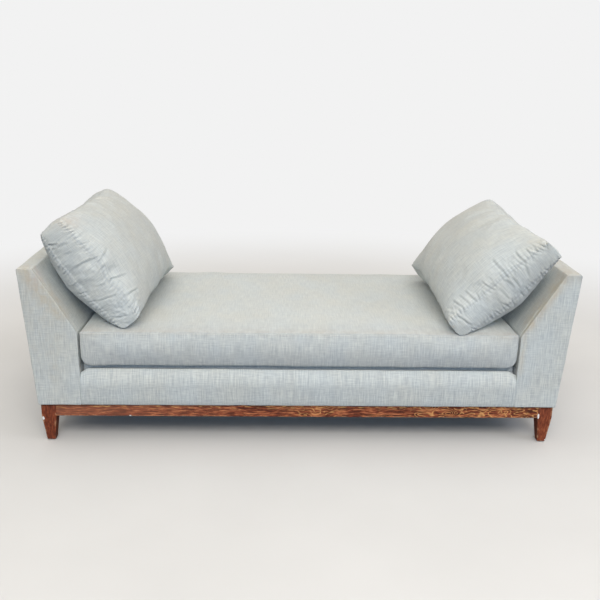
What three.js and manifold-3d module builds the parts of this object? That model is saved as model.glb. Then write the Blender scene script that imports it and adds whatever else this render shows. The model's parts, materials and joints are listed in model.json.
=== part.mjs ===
// Recamier: a backless settee with two flared arms, one loose seat cushion and two loose feather pillows.
// Millimetres. +X runs along the length, the front looks towards -Y, +Z is up, and the origin lies on the
// floor under the middle. The timber plinth carries a timber seat frame, which carries the arms.
import * as THREE from 'three'
import { mergeVertices } from 'three/addons/utils/BufferGeometryUtils.js'
import Module from 'manifold-3d'

const wasm = await Module()
wasm.setup()

// Whole piece
const baseLength = 2044
const overallDepth = 914
const armHeight = 711
const undersideHeight = 163
const touchGap = 0.3
const seamTolerance = 0.03
const weldTolerance = 0.003

// Plinth: rails, legs, glides and corner blocks
const railHeight = 52
const railThickness = 24
const railSetback = 1.5
const legTopWidth = 57
const legFootWidth = 33
const legFrontSetback = 12
const legEndSetback = 6
const glideHeight = 4
const glideDiameter = 24
const cornerBlockReach = 70
const cornerBlockDrop = 6
const cornerBlockHeight = 34

// Seat frame: timber rails, slats, straps, deck and bands
const frameRailThickness = 25
const frameRailHeight = 122
const slatWidth = 45
const slatHeight = 38
const slatCount = 3
const strapWidth = 60
const strapThickness = 2
const strapCount = 9
const deckThickness = 33
const dustCoverThickness = 1.5
const bandTopDrop = 6
const bandThickness = 20
const bandTopRadius = 14
const deckEdgeRadius = 6

// Arms: end boards and rails inside, padded upholstery outside
const armBaseWidth = 168
const armTopWidth = 60
const armFlare = 45
const kinkBelowSeam = 6
const facingThickness = 20
const outerPadThickness = 12
const innerPadThickness = 30
const armTopRadius = 8
const endBoardThickness = 22
const armTopRailHeight = 80
const kinkRailHeight = 60
const armRailThickness = 22
const bottomRailHeight = 75

// Loose seat cushion
const cushionThickness = 142
const cushionSideGap = 2
const cushionCrown = 14
const cushionBellyCrown = 1.5
const cushionCrownRun = 130
const cushionDrawIn = 4
const cushionBulge = 4
const cushionUnderInset = 24

// Loose pillows
const pillowAcross = 500
const pillowLong = 762
const pillowBoxing = 127
const pillowCornerBoxing = 90
const pillowFaceCrown = 92
const pillowBackCrown = 110
const pillowDrawAcross = 32
const pillowDrawLong = 24
const pillowCornerRounding = 15
const pillowBulge = 5

// Where the pillows lie: the middle of each from the arm, the front and the seat's top seam, and its
// turns in degrees
const leftPillowFromArm = 70
const leftPillowFromFront = 391
const leftPillowAboveSeam = 224
const leftPillowLean = 52
const leftPillowTurn = -3.7
const leftPillowRoll = 1.3
const rightPillowFromArm = 99
const rightPillowFromFront = 362
const rightPillowAboveSeam = 206
const rightPillowLean = 44
const rightPillowTurn = 5.2
const rightPillowRoll = -4.9

// Counts of facets and the shares of the forms that they follow
const arcSteps = 4
const glideSides = 24
const cushionColumns = 26
const cushionRows = 14
const cushionBoxingSteps = 6
const pillowColumns = 17
const pillowRows = 17
const pillowBoxingSteps = 5
const edgeCrowdingShare = 0.55
const underCurlShare = 0.8
const pillowCrownPower = 1.12
const cornerRoundingPower = 6
const bulgePower = 8

// Finishes
const fabric = { color: 0xb9bdb8, roughness: 0.95, metalness: 0 }
const wood = { color: 0x6e3420, roughness: 0.45, metalness: 0 }
const innerTimber = { color: 0xc3a37a, roughness: 0.8, metalness: 0 }
const strapCloth = { color: 0x2c2c2e, roughness: 0.9, metalness: 0 }
const glideFelt = { color: 0x8a8478, roughness: 0.9, metalness: 0 }

// Heights and places that follow from the sizes
const halfDepth = overallDepth / 2
const halfBase = baseLength / 2
const halfSeat = halfBase - armBaseWidth
const halfTop = halfBase + armFlare
const plinthTop = undersideHeight - touchGap
const plinthBottom = undersideHeight - railHeight
const legOuterX = halfBase - legEndSetback
const legOuterY = halfDepth - legFrontSetback
const legInnerX = legOuterX - legTopWidth
const legInnerY = legOuterY - legTopWidth
const railOuterX = legOuterX - railSetback
const railOuterY = legOuterY - railSetback
const railInnerX = railOuterX - railThickness
const railInnerY = railOuterY - railThickness
const frameRailTop = undersideHeight + frameRailHeight
const boardOuterY = halfDepth - facingThickness - touchGap
const boardInnerY = boardOuterY - endBoardThickness
const frameRailOuterY = halfDepth - bandThickness - touchGap
const strapTop = frameRailTop + touchGap + strapThickness
const deckBottom = strapTop + touchGap
const deckTop = deckBottom + deckThickness
const bandTop = deckTop - bandTopDrop
const cushionBottom = deckTop + touchGap + cushionBellyCrown
const seamHeight = cushionBottom + cushionThickness
const kinkHeight = seamHeight - kinkBelowSeam
const innerPadFoot = deckTop

const object = new THREE.Group()

// Adds one named piece to the object
function addPiece(name, geometry, finish) {
  const mesh = new THREE.Mesh(geometry, new THREE.MeshStandardMaterial(finish))
  mesh.name = name
  object.add(mesh)
  return mesh
}

// A square-edged block between two corners
function block(name, low, high, finish) {
  const size = new THREE.Vector3().subVectors(high, low)
  const mesh = addPiece(name, new THREE.BoxGeometry(size.x, size.y, size.z), finish)
  mesh.position.addVectors(low, high).multiplyScalar(0.5)
  return mesh
}

const vec = (x, y, z) => new THREE.Vector3(x, y, z)
const flat = (x, y) => new THREE.Vector2(x, y)

// An outline whose corners may each have a radius: [point, radius]
function outlineShape(corners) {
  const shape = new THREE.Shape()
  corners.forEach(([corner, radius], i) => {
    const before = corners[(i + corners.length - 1) % corners.length][0]
    const after = corners[(i + 1) % corners.length][0]
    const start = corner.clone().add(before.clone().sub(corner).setLength(radius))
    const end = corner.clone().add(after.clone().sub(corner).setLength(radius))
    if (i === 0) shape.moveTo(start.x, start.y)
    else shape.lineTo(start.x, start.y)
    if (radius > 0) shape.quadraticCurveTo(corner.x, corner.y, end.x, end.y)
  })
  shape.closePath()
  return shape
}

const square = (points) => points.map((point) => [point, 0])

// A piece with one outline in X and Z, running from nearY to farY
function acrossDepth(name, corners, nearY, farY, finish) {
  const geometry = new THREE.ExtrudeGeometry(outlineShape(corners), {
    depth: farY - nearY, bevelEnabled: false, curveSegments: arcSteps,
  })
  const mesh = addPiece(name, geometry, finish)
  mesh.rotation.x = Math.PI / 2
  mesh.position.y = farY
  return mesh
}

// A piece with one outline in Y and Z, running from -halfLength to halfLength
function alongLength(name, corners, halfLength, finish) {
  const geometry = new THREE.ExtrudeGeometry(outlineShape(corners), {
    depth: 2 * halfLength, bevelEnabled: false, curveSegments: arcSteps,
  })
  const mesh = addPiece(name, geometry, finish)
  mesh.rotation.set(Math.PI / 2, Math.PI / 2, 0)
  mesh.position.x = -halfLength
  return mesh
}

// A piece with one outline in X and Y, standing from low to high
function upright(name, corners, low, high, finish) {
  const geometry = new THREE.ExtrudeGeometry(outlineShape(corners), {
    depth: high - low, bevelEnabled: false, curveSegments: arcSteps,
  })
  const mesh = addPiece(name, geometry, finish)
  mesh.position.z = low
  return mesh
}

// The point that lies t inside two edges that meet at a corner of an outline
function inset(before, corner, after, t) {
  const along = corner.clone().sub(before).normalize()
  const away = after.clone().sub(corner).normalize()
  const left = flat(-along.y, along.x).add(flat(-away.y, away.x)).normalize()
  const half = Math.sqrt((1 + along.dot(away)) / 2)
  return corner.clone().addScaledVector(left, t / half)
}

const mirrored = (points, side) => points.map((point) => flat(side * point.x, point.y))

// Square leg: straight behind the rails, then tapered on all four sides down to the glide
function leg(name, middleX, middleY) {
  const rings = [
    [plinthTop, legTopWidth / 2],
    [plinthBottom, legTopWidth / 2],
    [glideHeight + touchGap, legFootWidth / 2],
  ]
  const positions = []
  for (const [z, half] of rings) {
    positions.push(-half, -half, z, half, -half, z, half, half, z, -half, half, z)
  }
  const faces = [0, 1, 2, 0, 2, 3]
  const last = 4 * (rings.length - 1)
  faces.push(last, last + 2, last + 1, last, last + 3, last + 2)
  for (let ring = 0; ring < last; ring += 4) {
    for (let i = 0; i < 4; i += 1) {
      const next = (i + 1) % 4
      faces.push(ring + i, ring + 4 + i, ring + 4 + next, ring + i, ring + 4 + next, ring + next)
    }
  }
  const geometry = new THREE.BufferGeometry()
  geometry.setAttribute('position', new THREE.Float32BufferAttribute(positions, 3))
  geometry.setIndex(faces)
  addPiece(name, geometry, wood).position.set(middleX, middleY, 0)
}

// Plinth rails between the legs
function plinthRails() {
  for (const [end, side] of [['front', -1], ['back', 1]]) {
    const ys = [side * railOuterY, side * railInnerY].sort((a, b) => a - b)
    block(`plinth_rail_${end}`, vec(-legInnerX + touchGap, ys[0], plinthBottom),
      vec(legInnerX - touchGap, ys[1], plinthTop), wood)
  }
  for (const [end, side] of [['left', -1], ['right', 1]]) {
    const xs = [side * railOuterX, side * railInnerX].sort((a, b) => a - b)
    block(`plinth_rail_${end}`, vec(xs[0], -legInnerY + touchGap, plinthBottom),
      vec(xs[1], legInnerY - touchGap, plinthTop), wood)
  }
}

// Glued block that ties a leg to its two rails, notched round the leg's inner corner
function cornerBlock(name, sideX, sideY) {
  const nearX = legInnerX - touchGap
  const nearY = legInnerY - touchGap
  const edgeX = railInnerX - touchGap
  const edgeY = railInnerY - touchGap
  const points = [
    flat(nearX, edgeY), flat(nearX - cornerBlockReach, edgeY),
    flat(edgeX, nearY - cornerBlockReach), flat(edgeX, nearY), flat(nearX, nearY),
  ]
  const top = plinthTop - cornerBlockDrop
  const corners = square(points.map((point) => flat(sideX * point.x, sideY * point.y)))
  upright(name, corners, top - cornerBlockHeight, top, innerTimber)
}

// Felt glide under the leg's foot
function glide(name, middleX, middleY) {
  const geometry = new THREE.CylinderGeometry(glideDiameter / 2, glideDiameter / 2, glideHeight, glideSides)
  const mesh = addPiece(name, geometry, glideFelt)
  mesh.rotation.x = Math.PI / 2
  mesh.position.set(middleX, middleY, glideHeight / 2)
}

function plinth() {
  plinthRails()
  for (const [end, sideY] of [['front', -1], ['back', 1]]) {
    for (const [hand, sideX] of [['left', -1], ['right', 1]]) {
      const middleX = sideX * (legOuterX - legTopWidth / 2)
      const middleY = sideY * (legOuterY - legTopWidth / 2)
      leg(`leg_${end}_${hand}`, middleX, middleY)
      glide(`glide_${end}_${hand}`, middleX, middleY)
      cornerBlock(`corner_block_${end}_${hand}`, sideX, sideY)
    }
  }
}

// Timber rails, cross slats and the straps that carry the deck
function seatFrame() {
  const railEndX = halfSeat - touchGap
  const innerY = frameRailOuterY - frameRailThickness
  block('seat_rail_front', vec(-railEndX, -frameRailOuterY, undersideHeight),
    vec(railEndX, -innerY, frameRailTop), innerTimber)
  block('seat_rail_back', vec(-railEndX, innerY, undersideHeight),
    vec(railEndX, frameRailOuterY, frameRailTop), innerTimber)
  for (let i = 1; i <= slatCount; i += 1) {
    const x = -halfSeat + 2 * halfSeat * i / (slatCount + 1)
    block(`cross_slat_${i}`, vec(x - slatWidth / 2, -innerY + touchGap, undersideHeight),
      vec(x + slatWidth / 2, innerY - touchGap, undersideHeight + slatHeight), innerTimber)
  }
  for (let i = 1; i <= strapCount; i += 1) {
    const x = -halfSeat + 2 * halfSeat * i / (strapCount + 1)
    block(`seat_strap_${i}`, vec(x - strapWidth / 2, -frameRailOuterY, frameRailTop + touchGap),
      vec(x + strapWidth / 2, frameRailOuterY, strapTop), strapCloth)
  }
}

// Padded deck under the cushion, on the straps and between the two bands
function deck() {
  const y = frameRailOuterY
  const corners = [
    [flat(-y, deckBottom), 0], [flat(y, deckBottom), 0],
    [flat(y, deckTop), deckEdgeRadius], [flat(-y, deckTop), deckEdgeRadius],
  ]
  alongLength('deck_pad', corners, halfSeat - touchGap, fabric)
}

// Upholstered band over a long seat rail, rolled over at the top
function band(name, side) {
  const outer = side * halfDepth
  const inner = side * (halfDepth - bandThickness)
  const corners = [
    [flat(outer, undersideHeight), 0], [flat(inner, undersideHeight), 0],
    [flat(inner, bandTop), 0], [flat(outer, bandTop), bandTopRadius],
  ]
  alongLength(name, corners, halfSeat - touchGap, fabric)
}

// Thin black cloth stapled under the frame, inside the plinth and cut out round the legs
function dustCover() {
  const x = railInnerX - touchGap
  const y = railInnerY - touchGap
  const cutX = legInnerX - touchGap
  const cutY = legInnerY - touchGap
  const quarter = [flat(x, cutY), flat(cutX, cutY), flat(cutX, y)]
  const points = [
    ...quarter, ...mirrored(quarter, -1).reverse(),
    ...quarter.map((point) => flat(-point.x, -point.y)),
    ...quarter.map((point) => flat(point.x, -point.y)).reverse(),
  ]
  upright('dust_cover', square(points), plinthTop - dustCoverThickness, plinthTop, strapCloth)
}

// Profile of the arm on the +X side, from the bottom inner corner round to the bottom outer one
const armProfile = {
  innerBottom: flat(halfSeat, undersideHeight),
  kink: flat(halfSeat, kinkHeight),
  innerTop: flat(halfTop - armTopWidth, armHeight),
  outerTop: flat(halfTop, armHeight),
  outerBottom: flat(halfBase, undersideHeight),
}

// X of a line through two points at a height
function lineX(a, b, z) {
  return a.x + (b.x - a.x) * (z - a.y) / (b.y - a.y)
}

// The hollow between the inner and outer pads, where the arm's timber stands
function armCavity() {
  const { innerBottom, kink, innerTop, outerTop, outerBottom } = armProfile
  const depth = innerPadThickness + touchGap
  const shift = outerPadThickness + touchGap
  const kinkIn = inset(innerTop, kink, innerBottom, depth)
  const topIn = inset(outerTop, innerTop, kink, depth)
  const outerX = (z) => lineX(outerBottom, outerTop, z) - shift
  return { kinkIn, topIn, outerX, innerX: (z) => lineX(kinkIn, topIn, z) }
}

// Shaped board that closes the arm's timber frame at the front or the back
function endBoard(name, sideX, sideY) {
  const { kinkIn, topIn, outerX } = armCavity()
  const notch = innerPadFoot - touchGap
  const points = [
    flat(halfSeat, undersideHeight), flat(outerX(undersideHeight), undersideHeight),
    flat(outerX(topIn.y), topIn.y), topIn, kinkIn, flat(kinkIn.x, notch), flat(halfSeat, notch),
  ]
  const ys = [sideY * boardOuterY, sideY * boardInnerY].sort((a, b) => a - b)
  acrossDepth(name, square(mirrored(points, sideX)), ys[0], ys[1], innerTimber)
}

// Rails that run from one end board to the other inside an arm
function armRails(hand, side) {
  const { topIn, outerX, innerX, kinkIn } = armCavity()
  const half = boardInnerY - touchGap
  const low = topIn.y - armTopRailHeight
  const topRail = [flat(innerX(low), low), flat(outerX(low), low), flat(outerX(topIn.y), topIn.y), topIn]
  acrossDepth(`arm_top_rail_${hand}`, square(mirrored(topRail, side)), -half, half, innerTimber)
  const bottomX = Math.min(outerX(undersideHeight), outerX(undersideHeight + bottomRailHeight))
  const rails = [
    ['arm_kink_rail', kinkIn.x, kinkIn.y - kinkRailHeight, kinkRailHeight],
    ['seat_rail', halfSeat, undersideHeight, frameRailHeight],
    ['arm_bottom_rail', bottomX - armRailThickness, undersideHeight, bottomRailHeight],
  ]
  for (const [name, x, z, height] of rails) {
    const xs = [side * x, side * (x + armRailThickness)].sort((a, b) => a - b)
    block(`${name}_${hand}`, vec(xs[0], -half, z), vec(xs[1], half, z + height), innerTimber)
  }
}

// Padding and cover over the arm's inner face and top
function innerPad(hand, side) {
  const { innerTop, outerTop, outerBottom, kink, innerBottom } = armProfile
  const shift = outerPadThickness + touchGap
  const kinkIn = inset(innerTop, kink, innerBottom, innerPadThickness)
  const topIn = inset(outerTop, innerTop, kink, innerPadThickness)
  const endX = (z) => lineX(outerBottom, outerTop, z) - shift
  const points = [
    [flat(kink.x, innerPadFoot), 0], [kink, 0], [innerTop, armTopRadius],
    [flat(endX(armHeight), armHeight), 0], [flat(endX(topIn.y), topIn.y), 0], [topIn, 0], [kinkIn, 0],
    [flat(kinkIn.x, innerPadFoot), 0],
  ]
  const corners = points.map(([point, radius]) => [flat(side * point.x, point.y), radius])
  const half = halfDepth - facingThickness - touchGap
  acrossDepth(`arm_inner_pad_${hand}`, corners, -half, half, fabric)
}

// Padding and cover over the arm's outer face
function outerPad(hand, side) {
  const { outerTop, outerBottom } = armProfile
  const across = flat(outerPadThickness, 0)
  const corners = [
    [outerBottom, 0], [outerTop, armTopRadius],
    [outerTop.clone().sub(across), 0], [outerBottom.clone().sub(across), 0],
  ].map(([point, radius]) => [flat(side * point.x, point.y), radius])
  const half = halfDepth - facingThickness - touchGap
  acrossDepth(`arm_outer_pad_${hand}`, corners, -half, half, fabric)
}

// Padded facing that closes the arm at the front or the back
function facing(name, sideX, sideY) {
  const { innerBottom, kink, innerTop, outerTop, outerBottom } = armProfile
  const corners = [
    [innerBottom, 0], [kink, 0], [innerTop, armTopRadius], [outerTop, armTopRadius], [outerBottom, 0],
  ].map(([point, radius]) => [flat(sideX * point.x, point.y), radius])
  const ys = [sideY * halfDepth, sideY * (halfDepth - facingThickness)].sort((a, b) => a - b)
  acrossDepth(name, corners, ys[0], ys[1], fabric)
}

function arms() {
  for (const [hand, sideX] of [['left', -1], ['right', 1]]) {
    armRails(hand, sideX)
    innerPad(hand, sideX)
    outerPad(hand, sideX)
    for (const [end, sideY] of [['front', -1], ['back', 1]]) {
      endBoard(`arm_board_${end}_${hand}`, sideX, sideY)
      facing(`arm_facing_${end}_${hand}`, sideX, sideY)
    }
  }
}

// Quarter-round rise from 0 at a seam to 1 where the crown has levelled out
const rise = (t) => Math.sqrt(Math.max(0, 1 - (1 - Math.min(t, 1)) ** 2))

// Evenly spaced steps from -1 to 1, crowded towards both ends
function crowded(count) {
  const steps = []
  for (let i = 0; i <= count; i += 1) {
    const even = 2 * i / count - 1
    steps.push(even + edgeCrowdingShare * Math.sin(Math.PI * even) / Math.PI)
  }
  return steps
}

// Boxed cushion round its own middle: two crowned panels joined at their seams by a boxing strip.
// Sizes: long and wide over the seam corners, the boxing at mid side and at the corners, crowns of the
// panels and how far they run in, how far each side is drawn in at its middle, how far corners round
// off, how far the boxing bulges and how far its lower edge curls under.
function boxedCushion(sizes, counts) {
  const us = crowded(counts.columns)
  const vs = crowded(counts.rows)
  const seam = (u, v) => {
    const corner = sizes.cornerRounding * (u * v) ** cornerRoundingPower
    const x = u * (sizes.long / 2 - sizes.drawShort * (1 - v * v) * u * u - corner)
    const y = v * (sizes.wide / 2 - sizes.drawLong * (1 - u * u) * v * v - corner)
    const half = (sizes.boxing + (sizes.cornerBoxing - sizes.boxing) * (u * v) ** 2) / 2
    return { x, y, half }
  }
  const panelPoint = (u, v, up) => {
    const { x, y, half } = seam(u, v)
    const fromShort = (1 - Math.abs(u)) * sizes.long / 2
    const fromLong = (1 - Math.abs(v)) * sizes.wide / 2
    const lift = (rise(fromShort / sizes.runShort) * rise(fromLong / sizes.runLong)) ** sizes.crownPower
    const under = up > 0 ? 0 : sizes.underInset
    const crown = up > 0 ? sizes.crown : sizes.belly
    const shrink = vec(1 - 2 * under / sizes.long, 1 - 2 * under / sizes.wide, 0)
    return [x * shrink.x, y * shrink.y, up * (half + crown * lift)]
  }
  const sidePoint = (u, v, t) => {
    const top = panelPoint(u, v, 1)
    const low = panelPoint(u, v, -1)
    const curl = t < underCurlShare ? 0 : 1 - rise(1 - (t - underCurlShare) / (1 - underCurlShare))
    const swell = sizes.bulge * Math.sin(Math.PI * t)
    const outX = swell * Math.sign(u) * Math.abs(u) ** bulgePower * (1 - v ** bulgePower)
    const outY = swell * Math.sign(v) * Math.abs(v) ** bulgePower * (1 - u ** bulgePower)
    return [
      top[0] + (low[0] - top[0]) * curl + outX,
      top[1] + (low[1] - top[1]) * curl + outY,
      top[2] + (low[2] - top[2]) * t,
    ]
  }
  const rim = [
    ...us.slice(0, -1).map((u) => [u, -1]), ...vs.slice(0, -1).map((v) => [1, v]),
    ...us.slice(1).reverse().map((u) => [u, 1]), ...vs.slice(1).reverse().map((v) => [-1, v]),
  ]
  const positions = []
  const faces = []
  const quad = (a, b, c, d) => faces.push(a, b, c, a, c, d)
  for (const up of [1, -1]) {
    const first = positions.length / 3
    for (const v of vs) {
      for (const u of us) positions.push(...panelPoint(u, v, up))
    }
    for (let row = 0; row < counts.rows; row += 1) {
      for (let column = 0; column < counts.columns; column += 1) {
        const a = first + row * us.length + column
        const ring = [a, a + 1, a + us.length + 1, a + us.length]
        quad(...(up > 0 ? ring : ring.reverse()))
      }
    }
  }
  const first = positions.length / 3
  for (const [u, v] of rim) {
    for (let step = 0; step <= counts.boxing; step += 1) {
      positions.push(...sidePoint(u, v, step / counts.boxing))
    }
  }
  for (let i = 0; i < rim.length; i += 1) {
    for (let step = 0; step < counts.boxing; step += 1) {
      const a = first + i * (counts.boxing + 1) + step
      const b = first + ((i + 1) % rim.length) * (counts.boxing + 1) + step
      quad(a, a + 1, b + 1, b)
    }
  }
  const geometry = new THREE.BufferGeometry()
  geometry.setAttribute('position', new THREE.Float32BufferAttribute(positions, 3))
  geometry.setIndex(faces)
  return mergeVertices(geometry, seamTolerance)
}

// The loose seat cushion, grown all round by a margin where a neighbour is cut to it
function seatCushion(margin) {
  const geometry = boxedCushion({
    long: 2 * (halfSeat - cushionSideGap + margin),
    wide: overallDepth + 2 * margin,
    boxing: cushionThickness + 2 * margin,
    cornerBoxing: cushionThickness + 2 * margin,
    crown: cushionCrown,
    belly: cushionBellyCrown,
    runShort: cushionCrownRun,
    runLong: cushionCrownRun,
    crownPower: 1,
    drawShort: cushionDrawIn,
    drawLong: cushionDrawIn,
    cornerRounding: 0,
    bulge: cushionBulge,
    underInset: cushionUnderInset,
  }, { columns: cushionColumns, rows: cushionRows, boxing: cushionBoxingSteps })
  return geometry.translate(0, 0, seamHeight - cushionThickness / 2)
}

// Turns a closed geometry into a solid that can be cut
function solid(geometry) {
  const bare = geometry.clone()
  bare.deleteAttribute('normal')
  bare.deleteAttribute('uv')
  const merged = mergeVertices(bare, weldTolerance)
  return new wasm.Manifold(new wasm.Mesh({
    numProp: 3,
    vertProperties: new Float32Array(merged.attributes.position.array),
    triVerts: new Uint32Array(merged.index.array),
  }))
}

// Turns a cut solid back into a geometry
function surface(body) {
  const mesh = body.getMesh()
  const geometry = new THREE.BufferGeometry()
  geometry.setAttribute('position', new THREE.Float32BufferAttribute(mesh.vertProperties, 3))
  geometry.setIndex(Array.from(mesh.triVerts))
  return geometry
}

// The arm as one block, grown by the touching gap, to which a pillow is pressed flat
function armBlock(side) {
  const { innerBottom, kink, innerTop, outerTop, outerBottom } = armProfile
  const ring = [innerBottom, kink, innerTop, outerTop, outerBottom]
  const grown = ring.map((point, i) => {
    const before = ring[(i + ring.length - 1) % ring.length]
    const after = ring[(i + 1) % ring.length]
    return inset(before, point, after, touchGap)
  })
  const shape = outlineShape(square(mirrored(grown, side)))
  const geometry = new THREE.ExtrudeGeometry(shape, { depth: overallDepth + 2 * touchGap, bevelEnabled: false })
  geometry.rotateX(Math.PI / 2).translate(0, halfDepth + touchGap, 0)
  return geometry
}

// Plump boxed pillow, leaning on an arm and flattened where it rests on the arm and on the seat
function pillow(name, side, place, lean, turn, roll) {
  const geometry = boxedCushion({
    long: pillowAcross,
    wide: pillowLong,
    boxing: pillowBoxing,
    cornerBoxing: pillowCornerBoxing,
    crown: pillowFaceCrown,
    belly: pillowBackCrown,
    runShort: pillowAcross / 2,
    runLong: pillowLong / 2,
    crownPower: pillowCrownPower,
    drawShort: pillowDrawAcross,
    drawLong: pillowDrawLong,
    cornerRounding: pillowCornerRounding,
    bulge: pillowBulge,
    underInset: 0,
  }, { columns: pillowColumns, rows: pillowRows, boxing: pillowBoxingSteps })
  const middle = vec(side * (halfSeat - place.fromArm), place.fromFront - halfDepth, seamHeight + place.aboveSeam)
  const radians = THREE.MathUtils.degToRad
  const pose = new THREE.Matrix4().makeRotationZ(radians(turn))
  pose.multiply(new THREE.Matrix4().makeRotationY(-side * radians(lean)))
  pose.multiply(new THREE.Matrix4().makeRotationZ(radians(roll)))
  pose.setPosition(middle)
  const body = solid(geometry.applyMatrix4(pose))
  const pressed = body.subtract(solid(armBlock(side))).subtract(solid(seatCushion(touchGap)))
  addPiece(name, surface(pressed), fabric)
}

function looseCushions() {
  addPiece('seat_cushion', seatCushion(0), fabric)
  const leftPlace = {
    fromArm: leftPillowFromArm, fromFront: leftPillowFromFront, aboveSeam: leftPillowAboveSeam,
  }
  const rightPlace = {
    fromArm: rightPillowFromArm, fromFront: rightPillowFromFront, aboveSeam: rightPillowAboveSeam,
  }
  pillow('pillow_left', -1, leftPlace, leftPillowLean, leftPillowTurn, leftPillowRoll)
  pillow('pillow_right', 1, rightPlace, rightPillowLean, rightPillowTurn, rightPillowRoll)
}

plinth()
seatFrame()
deck()
band('band_front', -1)
band('band_back', 1)
dustCover()
arms()
looseCushions()

export default object
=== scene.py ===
# %% [markdown]
# A recamier is a backless settee with two arms that lean outwards. This one has a padded frame in pale
# woven cloth, one long loose seat cushion, two loose feather pillows, and a stained wood plinth on four
# tapered legs. The lesson dresses a plain model of it: the model gives each piece its place and size,
# and this script gives it cloth, stitching, wood and light.
# Everything is in metres. +X runs along the settee, the front looks towards -Y and +Z is up.

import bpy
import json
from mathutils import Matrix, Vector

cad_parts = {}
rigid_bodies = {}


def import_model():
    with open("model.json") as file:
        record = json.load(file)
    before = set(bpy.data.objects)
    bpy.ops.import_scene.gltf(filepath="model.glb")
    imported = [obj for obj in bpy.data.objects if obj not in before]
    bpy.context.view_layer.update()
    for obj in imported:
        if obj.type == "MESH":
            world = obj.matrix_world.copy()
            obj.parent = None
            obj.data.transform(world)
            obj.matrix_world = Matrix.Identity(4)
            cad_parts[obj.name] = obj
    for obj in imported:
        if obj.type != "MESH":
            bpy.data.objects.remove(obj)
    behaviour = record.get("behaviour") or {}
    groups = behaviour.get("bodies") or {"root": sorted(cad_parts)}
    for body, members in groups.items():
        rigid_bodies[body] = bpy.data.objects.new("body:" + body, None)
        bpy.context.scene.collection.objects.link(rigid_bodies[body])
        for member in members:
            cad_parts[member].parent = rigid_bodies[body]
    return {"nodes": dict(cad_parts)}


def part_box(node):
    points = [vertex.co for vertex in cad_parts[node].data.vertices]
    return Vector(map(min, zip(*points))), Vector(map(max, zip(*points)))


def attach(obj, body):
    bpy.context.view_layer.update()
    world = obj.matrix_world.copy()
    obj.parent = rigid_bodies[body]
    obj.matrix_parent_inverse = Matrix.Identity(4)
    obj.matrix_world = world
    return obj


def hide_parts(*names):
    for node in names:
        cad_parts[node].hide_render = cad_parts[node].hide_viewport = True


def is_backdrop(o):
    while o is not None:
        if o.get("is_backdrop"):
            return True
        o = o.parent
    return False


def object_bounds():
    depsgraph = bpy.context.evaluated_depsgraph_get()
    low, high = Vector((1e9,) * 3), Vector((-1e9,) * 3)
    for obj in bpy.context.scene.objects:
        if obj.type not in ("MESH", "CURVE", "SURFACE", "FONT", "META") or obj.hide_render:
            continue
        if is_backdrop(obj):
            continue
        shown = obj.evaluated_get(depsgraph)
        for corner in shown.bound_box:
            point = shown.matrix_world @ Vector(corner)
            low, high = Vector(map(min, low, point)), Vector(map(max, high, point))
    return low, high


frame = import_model()
cad_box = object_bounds()
print("nodes in the frame:", len(frame["nodes"]), "box:", [tuple(corner) for corner in cad_box])

# %% Tools
import json
import math

import bmesh
import bpy
import numpy as np
from mathutils import Matrix, Vector

MM = 0.001
SIDES = {"left": -1, "right": 1}
ENDS = {"front": -1, "back": 1}


def added(name, data):
    """A new object that carries this data, put into the scene."""
    made = bpy.data.objects.new(name, data)
    bpy.context.collection.objects.link(made)
    return made


def bell(away):
    """1 in the middle, 0.37 at a distance of 1 and next to nothing at 2."""
    return np.exp(-away ** 2)


# %% [markdown]
# The photograph was taken from a little left of the middle, at eye height, looking down. A camera in
# Blender looks along its own -Z with +Y up, so its turn can be set from three directions: where it
# looks, what is right and what is up. That is easier to check against a picture than three angles.

# %% Camera
CAMERA_PLACE = (-0.107, -3.341, 1.470)
CAMERA_TILT, CAMERA_ROLL, CAMERA_YAW = (math.radians(a) for a in (16.75, 1.15, 1.98))
PICTURE_PIXELS, FOCAL_PIXELS, SENSOR_MM = 600, 795, 36


def camera_axes(tilt, roll, yaw):
    """Forward follows from the tilt and the yaw; right is level; then the roll turns right and up."""
    forward = np.array([np.sin(yaw) * np.cos(tilt), np.cos(yaw) * np.cos(tilt), -np.sin(tilt)])
    right = np.array([np.cos(yaw), -np.sin(yaw), 0.0])
    up = np.cross(right, forward)
    return forward, np.cos(roll) * right + np.sin(roll) * up, np.cos(roll) * up - np.sin(roll) * right


forward, right, up = camera_axes(CAMERA_TILT, CAMERA_ROLL, CAMERA_YAW)
camera_turn = np.eye(4)
camera_turn[:3] = np.stack([right, up, -forward, CAMERA_PLACE], axis=1)
camera_data = bpy.data.cameras.new("camera")
camera_data.lens = FOCAL_PIXELS / PICTURE_PIXELS * SENSOR_MM
camera_data.sensor_width = SENSOR_MM
camera = added("camera", camera_data)
camera.matrix_world = Matrix(camera_turn.tolist())
bpy.context.scene.camera = camera
print("lens in mm:", round(camera_data.lens, 1))

# %% [markdown]
# The sky, the floor, the cloth and the wood are all made of nodes: small steps that pass a number or a
# colour on. Each helper adds one node and gives its result, so a material reads like a sum from the top
# down, and can be changed as easily as one.

# %% Node helpers
def node(tree, kind, settings=(), **inputs):
    """Adds one node, sets its plain settings and then its sockets by name (spaces as underscores)."""
    made = tree.nodes.new(kind)
    for key, value in dict(settings).items():
        setattr(made, key, value)
    for key, value in inputs.items():
        socket = made.inputs[int(key[1:])] if key[0] == "_" else made.inputs[key.replace("_", " ")]
        if isinstance(value, bpy.types.NodeSocket):
            tree.links.new(value, socket)
        else:
            socket.default_value = value
    return made


def colour_ramp(tree, value, stops):
    """A colour for each value from 0 to 1: stops are (place, colour), blended in between."""
    made = node(tree, "ShaderNodeValToRGB", Fac=value)
    ramp = made.color_ramp
    while len(ramp.elements) < len(stops):
        ramp.elements.new(0.5)
    for element, (place, colour) in zip(ramp.elements, stops):
        element.position = place
        element.color = colour
    return made.outputs["Color"]


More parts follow.
